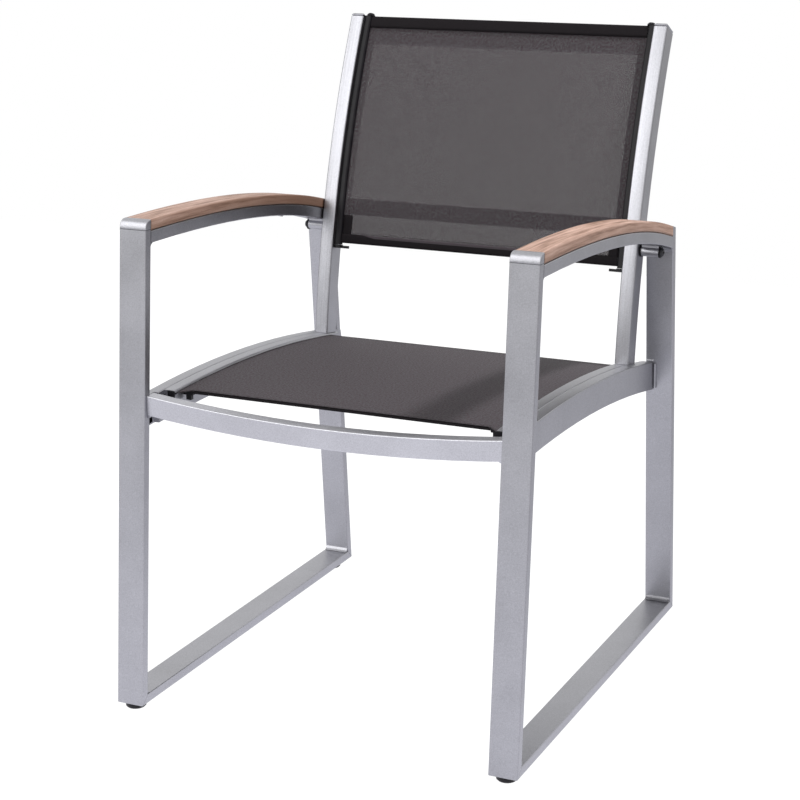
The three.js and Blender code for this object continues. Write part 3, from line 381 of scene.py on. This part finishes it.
ARM = Bow((0.0700491, 0.6635), (0.3919582, 0.6614475), (0.5834608, 0.6060))
ARM_MIDDLE = 0.272
ARM_SHARES = np.linspace(0, 1, 73)
TEAK_WIDTH = 0.040
TEAK_THICK = 0.0146
TEAK_ROUND = 0.0026
TEAK_LIGHT = (0.70, 0.485, 0.405)
TEAK_MID = (0.43, 0.272, 0.210)
TEAK_DARK = (0.150, 0.080, 0.051)
# Painted shade: the left strip's rear end is darkened in its colour, in place of the back panel's shadow.
REAR_SHADE = {"right": 0.0, "left": 0.5}
REAR_SHADE_FROM, REAR_SHADE_FULL = 0.1, 0.5
# Painted shade: the strip's sides are darker in colour than its top.
SIDE_SHADE = 0.5
SIDE_SHADE_FULL = 0.0005
FRONT_LEG_BACK = ((0.0129511, 0.0068738), (0.0699511, 0.6623738))
REAR_LEG_FACE = ((0.6300391, 0.0069922), (0.5835391, 0.6049922))
SEAM = 0.0003


def oiled_teak(name, rear_shade):
    """Quarter-sawn teak: streaks along the strip, with fibres and dark pores 0.3 mm wide and 9 mm long. The
    sawn sides are darker than the top, as painted shade. The rear end is darker by the given share, also as
    painted shade."""
    finish = Finish(name)
    streaks = finish.noise(finish.place((1, 0.045, 1), "UV"), scale=190, detail=4, roughness=0.62)
    fibres = finish.noise(finish.place((1, 0.02, 1), "UV"), scale=1300, detail=3, roughness=0.6)
    pores = finish.noise(finish.place((1, 0.035, 1), "UV"), scale=3200, detail=1).ramp(0.66, 0.74)
    tone = (streaks * 0.75 + fibres * 0.25).ramp(0.36, 0.64)
    stops = [(0.0, TEAK_DARK), (0.45, TEAK_MID), (1.0, TEAK_LIGHT)]
    wood = finish.node("ShaderNodeValToRGB", {"stops": stops}, (tone,))
    # Mask of the rear end, for painted shade.
    rear = finish.parts(finish.place(source="UV"))[1].ramp(REAR_SHADE_FROM, REAR_SHADE_FULL)
    across = (finish.parts(finish.place())[0].maths("ABSOLUTE") - ARM_MIDDLE).maths("ABSOLUTE")
    # Mask of the sides, for painted shade.
    sawn = across.ramp(TEAK_WIDTH / 2 - TEAK_ROUND, TEAK_WIDTH / 2 - SIDE_SHADE_FULL)
    darker = (pores * 0.4 + rear * rear_shade + sawn * SIDE_SHADE).maths("MINIMUM", 0.9)
    finish.feed(
        Base_Color=finish.mix(darker, wood, (*TEAK_DARK, 1)),
        Roughness=0.5 + 0.12 * fibres,
        Normal=finish.bump(fibres - pores, 0.00012, 0.6),
    )
    return finish.material


def leg_plane(line, clearance):
    """A point and a normal of the plane of a leg's face, moved along the depth by the clearance."""
    (y0, z0), (y1, z1) = line
    normal = np.array([0.0, z1 - z0, y0 - y1])
    return np.array([0.0, front_line + y0 + clearance, z0]), normal / np.linalg.norm(normal)


def teak_grid(middle):
    """The eased section carried along the arm's bow, with its end rows slid on until they lie in the
    planes of the legs: each point moves by its distance to the plane over the slope of the bow."""
    section = rounded(TEAK_WIDTH, TEAK_THICK, TEAK_ROUND)
    across, below = section.T
    line = ARM.beside(ARM_SHARES[:, None], TEAK_THICK / 2 + below[None, :])
    grid = standing(middle + across, line[..., 0], line[..., 1])
    for row, plane in ((0, (FRONT_LEG_BACK, SEAM)), (-1, (REAR_LEG_FACE, -SEAM))):
        point, normal = leg_plane(*plane)
        ray = np.array([0.0, *ARM.along(ARM_SHARES[row])])
        grid[row] += ((point - grid[row]) @ normal / (ray @ normal))[:, None] * ray
    return grid


for side, hand in SIDES.items():
    strip = surface(f"teak_strip_{side}", teak_grid(hand * ARM_MIDDLE), wrap=True, caps=True)
    dress(strip, oiled_teak(f"oiled_teak_{side}", REAR_SHADE[side]), f"teak_arm_{side}")


# Arm screws. Two stainless pan heads under each arm tube hold the teak from below. Their shanks inside the
# tube and the teak aren't shown.
def plain_steel():
    """Stainless steel with a turned sheen."""
    finish = Finish("stainless_steel", Metallic=1.0, Base_Color=(0.55, 0.55, 0.57, 1))
    grain = finish.noise(finish.place(), scale=3000, detail=2)
    finish.feed(Roughness=0.22 + 0.12 * grain)
    return finish.material


steel = plain_steel()
for side in SIDES:
    for number in (1, 2):
        smoothed(f"arm_screw_{number}_{side}", steel)


# Seat frame. Two arched side extrusions are welded to the legs, with a dipped tube between them in front,
# made brighter with painted light, and a square tube behind. Each rail is a box with a shallow ledge on its
# inner side, which holds the slot and ends in a black cap. Two small plates close the box under the front
# tube's end.
SEAT = Bow((0.0500491, 0.4335), (0.3247641, 0.44875), (0.5994792, 0.4000))
LEDGE_FACE = 0.2285
LEDGE_ROOT = 0.2457
LEDGE_STEP = 0.0001
LEDGE_DEPTH = 0.0149
CHAMBER_DEPTH = 0.0382
CHAMBER_LEFT = 0.2
LEDGE_TRIM = 0.0132
BOX_END = 0.0613
BOX_INNER_FACE = 0.2523
BOX_OPEN_FROM = 0.0535
SIDE_PLATE_HEIGHT = 0.012
RAIL_HEIGHT = 0.041
CAP_WIDTH = 0.0104
CAP_THICK = 0.0014
PLATE_ROUND = 0.0002
END_REACH = 0.003


def seat_share(depth):
    """The share of the seat's bow at a depth behind the front feet: the depth grows evenly along it."""
    return (depth - SEAT.start[0]) / (SEAT.end[0] - SEAT.start[0])


def points_of(piece):
    """The points of a piece's mesh. Shape (n, 3)."""
    places = np.empty(len(piece.data.vertices) * 3, np.float32)
    piece.data.vertices.foreach_get("co", places)
    return places.reshape(-1, 3)


def put_points(piece, places):
    """Moves the points of a piece's mesh to their new places."""
    piece.data.vertices.foreach_set("co", places.ravel())
    piece.data.update()


def ledge_shaped(rail):
    """Cuts the rail lengthwise at the ledge's root, pushes the chamber under the ledge up to a fifth of its
    height, just below the slot, and moves the ledge's front end back along the arch."""
    shape = bmesh.new()
    shape.from_mesh(rail.data)
    for across in (LEDGE_ROOT - LEDGE_STEP, LEDGE_ROOT + LEDGE_STEP):
        for hand in SIDES.values():
            parts = [*shape.verts, *shape.edges, *shape.faces]
            at = (hand * across, 0, 0)
            bmesh.ops.bisect_plane(shape, geom=parts, plane_co=at, plane_no=(1, 0, 0))
    shape.to_mesh(rail.data)
    shape.free()
    places = points_of(rail)
    depth = places[:, 1] - front_line
    below = SEAT.beside(seat_share(depth))[:, 1] - places[:, 2]
    ledge = np.abs(places[:, 0]) < LEDGE_ROOT
    chamber = ledge & (below > LEDGE_DEPTH)
    lift = (1 - CHAMBER_LEFT) * (below[chamber] - CHAMBER_DEPTH) + CHAMBER_DEPTH - LEDGE_DEPTH
    places[chamber, 2] += lift
    end = ledge & (depth < BOX_END + END_REACH)
    along = SEAT.along(seat_share(BOX_END))
    places[end, 1:] += LEDGE_TRIM * along / along[0]
    put_points(rail, places)
    rail.data.set_sharp_from_angle(angle=SHARP_CORNER)


def plate(name, middle, high, low, width, depth, thick, material, slot):
    """A plate with round corners between two heights, which reaches back from the depth by thick."""
    across, height = (rounded(width, high - low, PLATE_ROUND) + (middle, (high + low) / 2)).T
    rows = depth + np.array([0.0, thick])[:, None]
    piece = surface(name, standing(across, rows, height), wrap=True, caps=True)
    dress(piece, material)


# The front tube's colour is lightened as painted light.
smoothed("seat_front_bar", satin_metal("painted_light_satin_aluminium", painted_light_gain=1.3))

# The rear tube runs on under the ledges to the boxes.
rear_bar = smoothed("seat_rear_bar", satin)
places = points_of(rear_bar)
ends = np.abs(places[:, 0]) > LEDGE_FACE - END_REACH
places[ends, 0] = np.copysign(LEDGE_ROOT - 2 * LEDGE_STEP, places[ends, 0])
put_points(rear_bar, places)

for side, hand in SIDES.items():
    ledge_shaped(smoothed(f"seat_rail_{side}", satin))

    cap_depth = BOX_END + LEDGE_TRIM - SEAM - CAP_THICK
    high = SEAT.beside(seat_share(cap_depth))[1] - SEAM
    middle = hand * (LEDGE_FACE + SEAM + CAP_WIDTH / 2)
    size = (CAP_WIDTH, cap_depth, CAP_THICK)
    plate(f"rail_cap_{side}", middle, high, high - LEDGE_DEPTH, *size, black_plastic, "black_plastic")

    width = BOX_INNER_FACE - LEDGE_ROOT - 2 * SEAM
    high = SEAT.beside(seat_share(BOX_END))[1] - SEAM
    size = (width, BOX_END - SEAM - CAP_THICK / 2, CAP_THICK / 2)
    middle = hand * (LEDGE_ROOT + SEAM + width / 2)
    low = high - RAIL_HEIGHT
    plate(f"rail_end_plate_{side}", middle, high, low, *size, satin, "satin_aluminium")

    high = low + SIDE_PLATE_HEIGHT
    size = (2 * SEAM, BOX_OPEN_FROM, BOX_END - SEAM - BOX_OPEN_FROM)
    middle = hand * BOX_INNER_FACE
    plate(f"rail_side_plate_{side}", middle, high, low, *size, satin, "satin_aluminium")


# Back frame. Two bowed uprights stand on the seat rails and lean back past the arms, with bevelled caps
# on top and two flat cross tubes behind the cloth.
drawn_satin = satin_metal("drawn_aluminium", drawn=1.6)
for name in ("back_cross_bar_1", "back_cross_bar_2"):
    smoothed(name, satin)
for side in SIDES:
    smoothed(f"back_upright_{side}", drawn_satin)
    for name in ("upright_cap", "arm_mount_sleeve"):
        smoothed(f"{name}_{side}", satin)


# Arm mounts. A round sleeve under each arm tube takes a black oxide bolt with a black washer at each end.
# They tie the upright to the arm.
def black_oxide():
    """Blackened steel: dark metal with a satin sheen that changes a little from place to place."""
    finish = Finish("black_oxide", Metallic=0.6, Base_Color=(0.035, 0.035, 0.04, 1))
    finish.feed(Roughness=0.3 + 0.2 * finish.noise(finish.place(), scale=400, detail=3))
    return finish.material


oxide = black_oxide()
for side in SIDES:
    smoothed(f"arm_mount_bolt_{side}", oxide)
    for name in ("inner_washer", "outer_washer"):
        smoothed(f"{name}_{side}", black_plastic)


# Channels. A slotted black extrusion on the inner side of each upright holds the bead of the back cloth,
# with a rounded stop on top and a stop with a lug below. It is glossier than the moulded pieces.
extruded_black = moulded_black("extruded_black", roughness=0.26, shine=0.18)
for side in SIDES:
    for name in ("back_channel", "channel_top_stop", "channel_bottom_stop"):
        smoothed(f"{name}_{side}", extruded_black)


# Sling cloth. Coated polyester yarn is woven into an open mesh, dark grey-brown with a touch of violet.
# Each side edge is turned over a rod and sewn back on itself, so it is double beside the rod.
YARN_PITCH = 0.00115
YARN_SHARE = 0.357
YARN_DARK = (0.031, 0.0262, 0.0292, 1)
YARN_LIGHT = (0.086, 0.0725, 0.0820, 1)
YARN_REDDISH = (0.074, 0.051, 0.061, 1)
YARN_GREENISH = (0.106, 0.104, 0.109, 1)
YARN_BLACK = (0.006, 0.005, 0.006, 1)
YARN_HEM = (0.016, 0.013, 0.015, 1)
THREAD_HALF = 0.00045
STITCH_LENGTH = 0.0042
STITCH_SHARE = 0.75
STITCH_INSET = 0.003


def weave(finish):
    """Plain weave: two sets of round yarns, one over the other by turns, with a hole between four yarns.
    The height of a yarn is a half circle across it and a wave along it: below 0 there is no yarn."""
    u, v, _ = finish.parts(finish.place((1 / YARN_PITCH, 1 / YARN_PITCH, 0), "UV"))
    wave = (u * math.pi).maths("SINE") * (v * math.pi).maths("SINE")
    off_warp, off_weft = (((cell.maths("FRACT") - 0.5) / YARN_SHARE).maths("ABSOLUTE") for cell in (u, v))
    warp = (1 - off_warp * off_warp) * (1 + 0.35 * wave)
    weft = (1 - off_weft * off_weft) * (1 - 0.35 * wave)
    return warp.maths("MAXIMUM", weft)


def slubs(finish):
    """Uneven yarns: short streaks along both sets, 2 mm wide and 17 mm long."""
    lengthwise = finish.noise(finish.place((1, 0.12, 1), "UV"), scale=500, detail=3)
    crosswise = finish.noise(finish.place((0.12, 1, 1), "UV"), scale=500, detail=3)
    return (lengthwise + crosswise) * 0.5


def sling_mesh(name, width):
    """The open cloth of a panel of the given width, with a row of black stitches near both side edges. Its
    yarns vary a little between red-brown and grey-green."""
    finish = Finish(name, Specular_IOR_Level=0.2)
    height = weave(finish)
    uneven = slubs(finish)
    specks = finish.noise(finish.place(source="UV"), scale=330, detail=1).ramp(0.35, 0.65)
    u, v, _ = finish.parts(finish.place(source="UV"))
    from_side = u.maths("MINIMUM", width - u)
    thread = (from_side - STITCH_INSET).maths("ABSOLUTE").maths("LESS_THAN", THREAD_HALF)
    thread = thread * (v / STITCH_LENGTH).maths("FRACT").maths("LESS_THAN", STITCH_SHARE)
    shade = (height * 0.5 + uneven * 0.6 + specks * 0.1).ramp(0.15, 1.0)
    yarns = finish.mix(shade, YARN_DARK, finish.mix(specks, YARN_REDDISH, YARN_GREENISH))
    finish.feed(
        Base_Color=finish.mix(thread, yarns, YARN_BLACK),
        Roughness=0.55 + 0.2 * uneven,
        Normal=finish.bump(height.maths("MAXIMUM", 0.0), 0.0002, 0.5),
        Alpha=height.maths("GREATER_THAN", 0.0).maths("MAXIMUM", thread),
    )
    return finish.material


BEAD_RADIUS = 0.0019
LAYER = 0.0004
CURL_STEPS = 14
LAP_STEPS = 5
EDGE_STEPS = 9
PANEL_STEPS = 45
PANEL_ROWS = 64
CLOTH_WALL = 0.0003


def cloth_section(half, lap):
    """The cloth from one free edge to the other, as (across, below) points: a lap under the panel, a
    circle round the rod at half, the panel, and the same mirrored. The layers lie a little above and
    below the rod's middle. Shape (n, 2)."""
    start = math.asin(LAYER / BEAD_RADIUS)
    turn = np.linspace(math.pi - start, start - math.pi, CURL_STEPS)
    curl = np.stack([half + np.cos(turn) * BEAD_RADIUS, np.sin(turn) * BEAD_RADIUS], axis=1)
    under = np.linspace(half - lap, curl[0, 0], LAP_STEPS)
    under = np.stack([under, np.full(LAP_STEPS, LAYER)], axis=1)[:-1]
    edge = np.concatenate([under, curl])
    inner = curl[-1, 0]
    fine = np.linspace(inner, inner - lap, EDGE_STEPS)[1:-1]
    across = np.concatenate([fine, np.linspace(inner - lap, lap - inner, PANEL_STEPS), -fine[::-1]])
    panel = np.stack([across, np.full(len(across), -LAYER)], axis=1)
    return np.concatenate([edge, panel, (edge * (-1, 1))[::-1]])[::-1]


def panel_grid(bow, section, drop, sag, first, last):
    """The section carried along a bow, each column between its own first and last share, with the lengths
    for its UV map. The panel sags by the sag times a parabola across and a half sine along."""
    across, below = section.T
    step = np.linspace(0, 1, PANEL_ROWS)[:, None]
    shares = first + (last - first) * step
    span = np.clip(1 - (across / across.max()) ** 2, 0, 1)
    line = bow.beside(shares, drop + below)
    hang = sag * span * np.sin(math.pi * step)
    grid = standing(across, line[..., 0], line[..., 1] - hang)
    u = np.concatenate([[0], np.linalg.norm(np.diff(section, axis=0), axis=1).cumsum()])
    return grid, (np.broadcast_to(u, shares.shape), bow.length() * shares)


def sling_panel(name, node, bow, half, lap, drop, sag, ends, corner_ends, hem_half):
    """A panel with its material and a thin wall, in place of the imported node, and its flat width and
    length. Past hem_half its columns run on to the corner ends."""
    section = cloth_section(half, lap)
    out = np.clip((np.abs(section[:, 0]) - hem_half) / (half - BEAD_RADIUS - hem_half), 0, 1)
    first, last = (end + (corner - end) * out for end, corner in zip(ends, corner_ends))
    grid, lengths = panel_grid(bow, section, drop, sag, first, last)
    piece = surface(name, grid, lengths=lengths)
    wall = piece.modifiers.new("wall", "SOLIDIFY")
    wall.thickness = CLOTH_WALL
    wall.offset = 0
    width = float(lengths[0].max())
    dress(piece, sling_mesh(f"{name}_mesh", width), node)
    return piece, (width, bow.length(*ends))


FOLD_EDGE = 0.001
FOLD_CLIMB = 0.009
FOLD_CLIMB_FROM, FOLD_CLIMB_FULL = 0.165, 0.212
HEM_STEPS = 40
HEM_FLAT = 0.00001


def sling_hem(name, shaded_fold_height=None):
    """Three layers of the cloth, sewn flat: no holes, and darker. Where a fold height is given, only the
    fold below it is dark, as painted shade on the hem's downward face, and that dark line climbs by 9 mm to
    the side edges."""
    finish = Finish(name, Specular_IOR_Level=0.12)
    height = weave(finish)
    uneven = slubs(finish)
    shade = (height * 0.4 + uneven * 0.7).ramp(0.1, 0.95)
    colour = finish.mix(shade, YARN_BLACK, YARN_HEM)
    if shaded_fold_height is not None:
        # Painted shade: below the given height the hem takes the black hem colour, and above it the cloth
        # colour.
        x, _, z = finish.parts(finish.place())
        level = z - x.maths("ABSOLUTE").ramp(FOLD_CLIMB_FROM, FOLD_CLIMB_FULL) * FOLD_CLIMB
        above = level.ramp(shaded_fold_height, shaded_fold_height + FOLD_EDGE)
        colour = finish.mix(above, colour, finish.mix(shade, YARN_DARK, YARN_LIGHT))
    finish.feed(
        Base_Color=colour, Roughness=0.6 + 0.2 * uneven, Normal=finish.bump(height, 0.0002, 0.5)
    )
    return finish.material


def hem(name, bow, share, offset, size, half, material):
    """A pocket round a batten: an outline with round ends, set on the bow and run across the chair."""
    width, thick = size
    loop = rounded(width, thick, thick / 2 - HEM_FLAT, steps=6)
    turned = loop[:, :1] * bow.along(share) + loop[:, 1:] * bow.square(share)
    depth, height = (bow.beside(share, offset) + turned).T
    across = np.linspace(-half, half, HEM_STEPS)[:, None]
    piece = surface(name, standing(across, depth, height), wrap=True, caps=True, flip=True)
    dress(piece, material)
    return piece


SEAT_ENDS = (0.0818, 0.8881)
SEAT_CORNER_ENDS = (0.0500, 0.8881)
SEAT_BEAD_X = 0.2330
SEAT_LAP = 0.022
SEAT_DROP = 0.0042
SEAT_SAG = 0.006
SEAT_HEM_SHARES = (0.1029, 0.8670)
SEAT_HEM_OFFSET = 0.0069
SEAT_HEM_SIZE = (0.0232, 0.0046)
SEAT_HEM_HALF = 0.2135

black_hem = sling_hem("sling_hem")
seat_hems = [
    hem(f"seat_hem_{end}", SEAT, share, SEAT_HEM_OFFSET, SEAT_HEM_SIZE, SEAT_HEM_HALF, black_hem)
    for end, share in zip(("front", "rear"), SEAT_HEM_SHARES)
]
seat_panel, seat_flat = sling_panel(
    "seat_panel",
    "seat_sling",
    SEAT,
    half=SEAT_BEAD_X,
    lap=SEAT_LAP,
    drop=SEAT_DROP,
    sag=SEAT_SAG,
    ends=SEAT_ENDS,
    corner_ends=SEAT_CORNER_ENDS,
    hem_half=SEAT_HEM_HALF,
)


# Back panel. It is made like the seat panel, with a wide black hem on top, a narrower hem below whose
# downward fold is darkened with painted shade, and a black patch sewn over each lower corner, where the
# cloth is pulled hardest.
BACK = Bow((0.5220281, 0.4124724), (0.5480281, 0.6462362), (0.6620281, 0.8800))
BACK_CORNER_ENDS = (0.2931, 0.9947)
BACK_HEM_SHARES = (0.3076, 0.9845)
BACK_ENDS = (0.3190, 0.9690)
BACK_BEAD_X = 0.22445
BACK_LAP = 0.0145
BACK_DEPTH = 0.012
BACK_HEM_SIZES = ((0.0142, 0.0072), (0.0182, 0.0072))
BACK_HEM_HALF = 0.2192
BACK_SHADED_FOLD_HEIGHT = 0.5565

folded_hem = sling_hem("sling_hem_bottom", BACK_SHADED_FOLD_HEIGHT)
back_hems = [
    hem(f"back_hem_{end}", BACK, share, BACK_DEPTH, size, BACK_HEM_HALF, material)
    for end, share, size, material in zip(
        ("bottom", "top"), BACK_HEM_SHARES, BACK_HEM_SIZES, (folded_hem, black_hem)
    )
]
back_panel, back_flat = sling_panel(
    "back_panel",
    "back_sling",
    BACK,
    half=BACK_BEAD_X,
    lap=BACK_LAP,
    drop=BACK_DEPTH,
    sag=0.0,
    ends=BACK_ENDS,
    corner_ends=BACK_CORNER_ENDS,
    hem_half=BACK_HEM_HALF,
)

PATCH_X = (0.2190, 0.2045)
PATCH_SHARES = (0.3150, 0.3820)
PATCH_LIFT = 0.0012
PATCH_ROWS, PATCH_COLUMNS = 9, 5
for side, hand in SIDES.items():
    # A rectangle on the panel's front, from the hem up, bent with the bow.
    shares = np.linspace(*PATCH_SHARES, PATCH_ROWS)[:, None]
    line = BACK.beside(shares, BACK_DEPTH - PATCH_LIFT)
    grid = standing(hand * np.linspace(*PATCH_X, PATCH_COLUMNS), line[..., 0], line[..., 1])
    patch = surface(f"corner_patch_{side}", grid, flip=hand < 0)
    wall = patch.modifiers.new("wall", "SOLIDIFY")
    wall.thickness = 2 * CLOTH_WALL
    dress(patch, black_hem)
    back_hems.append(patch)


# Rods and battens. Plastic rods run in the beads, flat bars in the pockets, and black shoes hold the ends
# of the seat's battens against the rails.
for side in SIDES:
    # The rod ends behind the cap of the ledge.
    rod = smoothed(f"seat_bead_rod_{side}", black_plastic)
    places = points_of(rod)
    places[:, 1] = np.maximum(places[:, 1], front_line + BOX_END + LEDGE_TRIM)
    put_points(rod, places)
    for name in ("back_bead_rod", "batten_shoe_front", "batten_shoe_rear"):
        smoothed(f"{name}_{side}", black_plastic)
for name in ("seat_batten_front", "seat_batten_rear", "back_batten_top", "back_batten_bottom"):
    smoothed(name, satin)

LUG_ACROSS = 0.2205
LUG_DEPTHS = (0.0955, 0.1015)
LUG_HEIGHTS = (0.4246, 0.4180)
LUG_WIDTH = 0.0075
for side, hand in SIDES.items():
    # A lug below the front of each front shoe, by which it is pushed along the slot.
    size = (LUG_WIDTH, LUG_DEPTHS[0], LUG_DEPTHS[1] - LUG_DEPTHS[0])
    plate(f"shoe_lug_{side}", hand * LUG_ACROSS, *LUG_HEIGHTS, *size, black_plastic, "black_plastic")


# Floor and surround. A pale floor runs into a white surround. To the camera both are white, apart from a
# part of the chair's shadow. In the metal the floor shows a painted pool of light in front on the left,
# with a faint painted blue tint, and the reflections darken away from it and towards the horizon.
def ray_kinds(nodes):
    """Whether a ray is a reflection, and whether it sees the background at all."""
    camera_ray, glossy, through = (
        nodes.node("ShaderNodeLightPath", output=f"Is {kind} Ray")
        for kind in ("Camera", "Glossy", "Transmission")
    )
    return glossy, camera_ray.maths("MAXIMUM", glossy).maths("MAXIMUM", through)


FLOOR_HALF = 2.6
FLOOR_WHITE = 0.86
FLOOR_GLOW = 1.20
# Painted light: in reflections the floor glows brightest round this point, fading to FLOOR_REFLECTED_FAR of
# it, with a faint blue tint.
FLOOR_PAINTED_POOL = (-0.6, -1.3, 0)
FLOOR_NEAR, FLOOR_FAR = 0.9, 2.6
FLOOR_REFLECTED_FAR = 0.62
FLOOR_REFLECTED = (0.97, 0.97, 1.04, 1)


def pale_floor():
    """Mostly glow for the rays that see the background, and real shade for the rest. In reflections the
    glow is a painted pool of light that fades away from a point in front on the left.
    """
    finish = Finish("pale_floor", Base_Color=(0.9, 0.9, 0.9, 1), Roughness=0.9)
    glossy, seen = ray_kinds(finish)
    reach = {"operation": "DISTANCE"}
    away = finish.node("ShaderNodeVectorMath", reach, (finish.place(), FLOOR_PAINTED_POOL), output="Value")
    fade = away.ramp(FLOOR_NEAR, FLOOR_FAR) * (1 - FLOOR_REFLECTED_FAR) * glossy
    tint = finish.mix(glossy, (1, 1, 1, 1), FLOOR_REFLECTED)
    glow = finish.node("ShaderNodeEmission", None, {"Color": tint, "Strength": FLOOR_GLOW * (1 - fade)})
    shader = Wire(finish, finish.shader.outputs[0])
    share = glossy.maths("MAXIMUM", seen * FLOOR_WHITE)
    mixed = finish.node("ShaderNodeMixShader", None, (share, shader, glow))
    finish.set(finish.tree.nodes["Material Output"].inputs["Surface"], mixed)
    return finish.material


edge = np.array([-FLOOR_HALF, FLOOR_HALF])
floor = surface("floor", np.stack([*np.meshgrid(edge, edge), np.zeros((2, 2))], axis=-1))
floor.data.materials.append(pale_floor())

SKY_LIGHT = 0.35
HORIZON_REFLECTED = 0.45
HORIZON_LOW, HORIZON_HIGH = -0.25, 0.30
world = bpy.data.worlds.new("surround")
bpy.context.scene.world = world
surround = Nodes(world, "Background")
glossy, seen = ray_kinds(surround)
upward = surround.parts(surround.node("ShaderNodeTexCoord", output="Generated"))[2]
dim = (1 - upward.ramp(HORIZON_LOW, HORIZON_HIGH)) * (1 - HORIZON_REFLECTED) * glossy
surround.feed(Color=(1, 1, 1, 1), Strength=SKY_LIGHT + seen * (1 - SKY_LIGHT) - dim)


# Lamps. A wide soft box stands in front on the left and a smaller one is up on the right, which draws the
# shadow of the arm on the seat.
def soft_lamp(name, place, size, power, mirrored):
    """A square area lamp that faces the middle of the chair, seen in the metal or not."""
    data = bpy.data.lights.new(name, "AREA")
    data.size = size
    data.energy = power
    lamp = bpy.data.objects.new(name, data)
    lamp.location = place
    lamp.rotation_euler = (Vector(place) - look_at).to_track_quat("Z", "Y").to_euler()
    lamp.visible_glossy = mirrored
    bpy.context.scene.collection.objects.link(lamp)


soft_lamp("front_lamp", place=(-1.1, -1.9, 2.0), size=2.4, power=34, mirrored=True)
soft_lamp("right_lamp", place=(1.45, 0.5, 2.4), size=0.2, power=48, mirrored=False)

bpy.context.scene.view_settings.view_transform = "Standard"
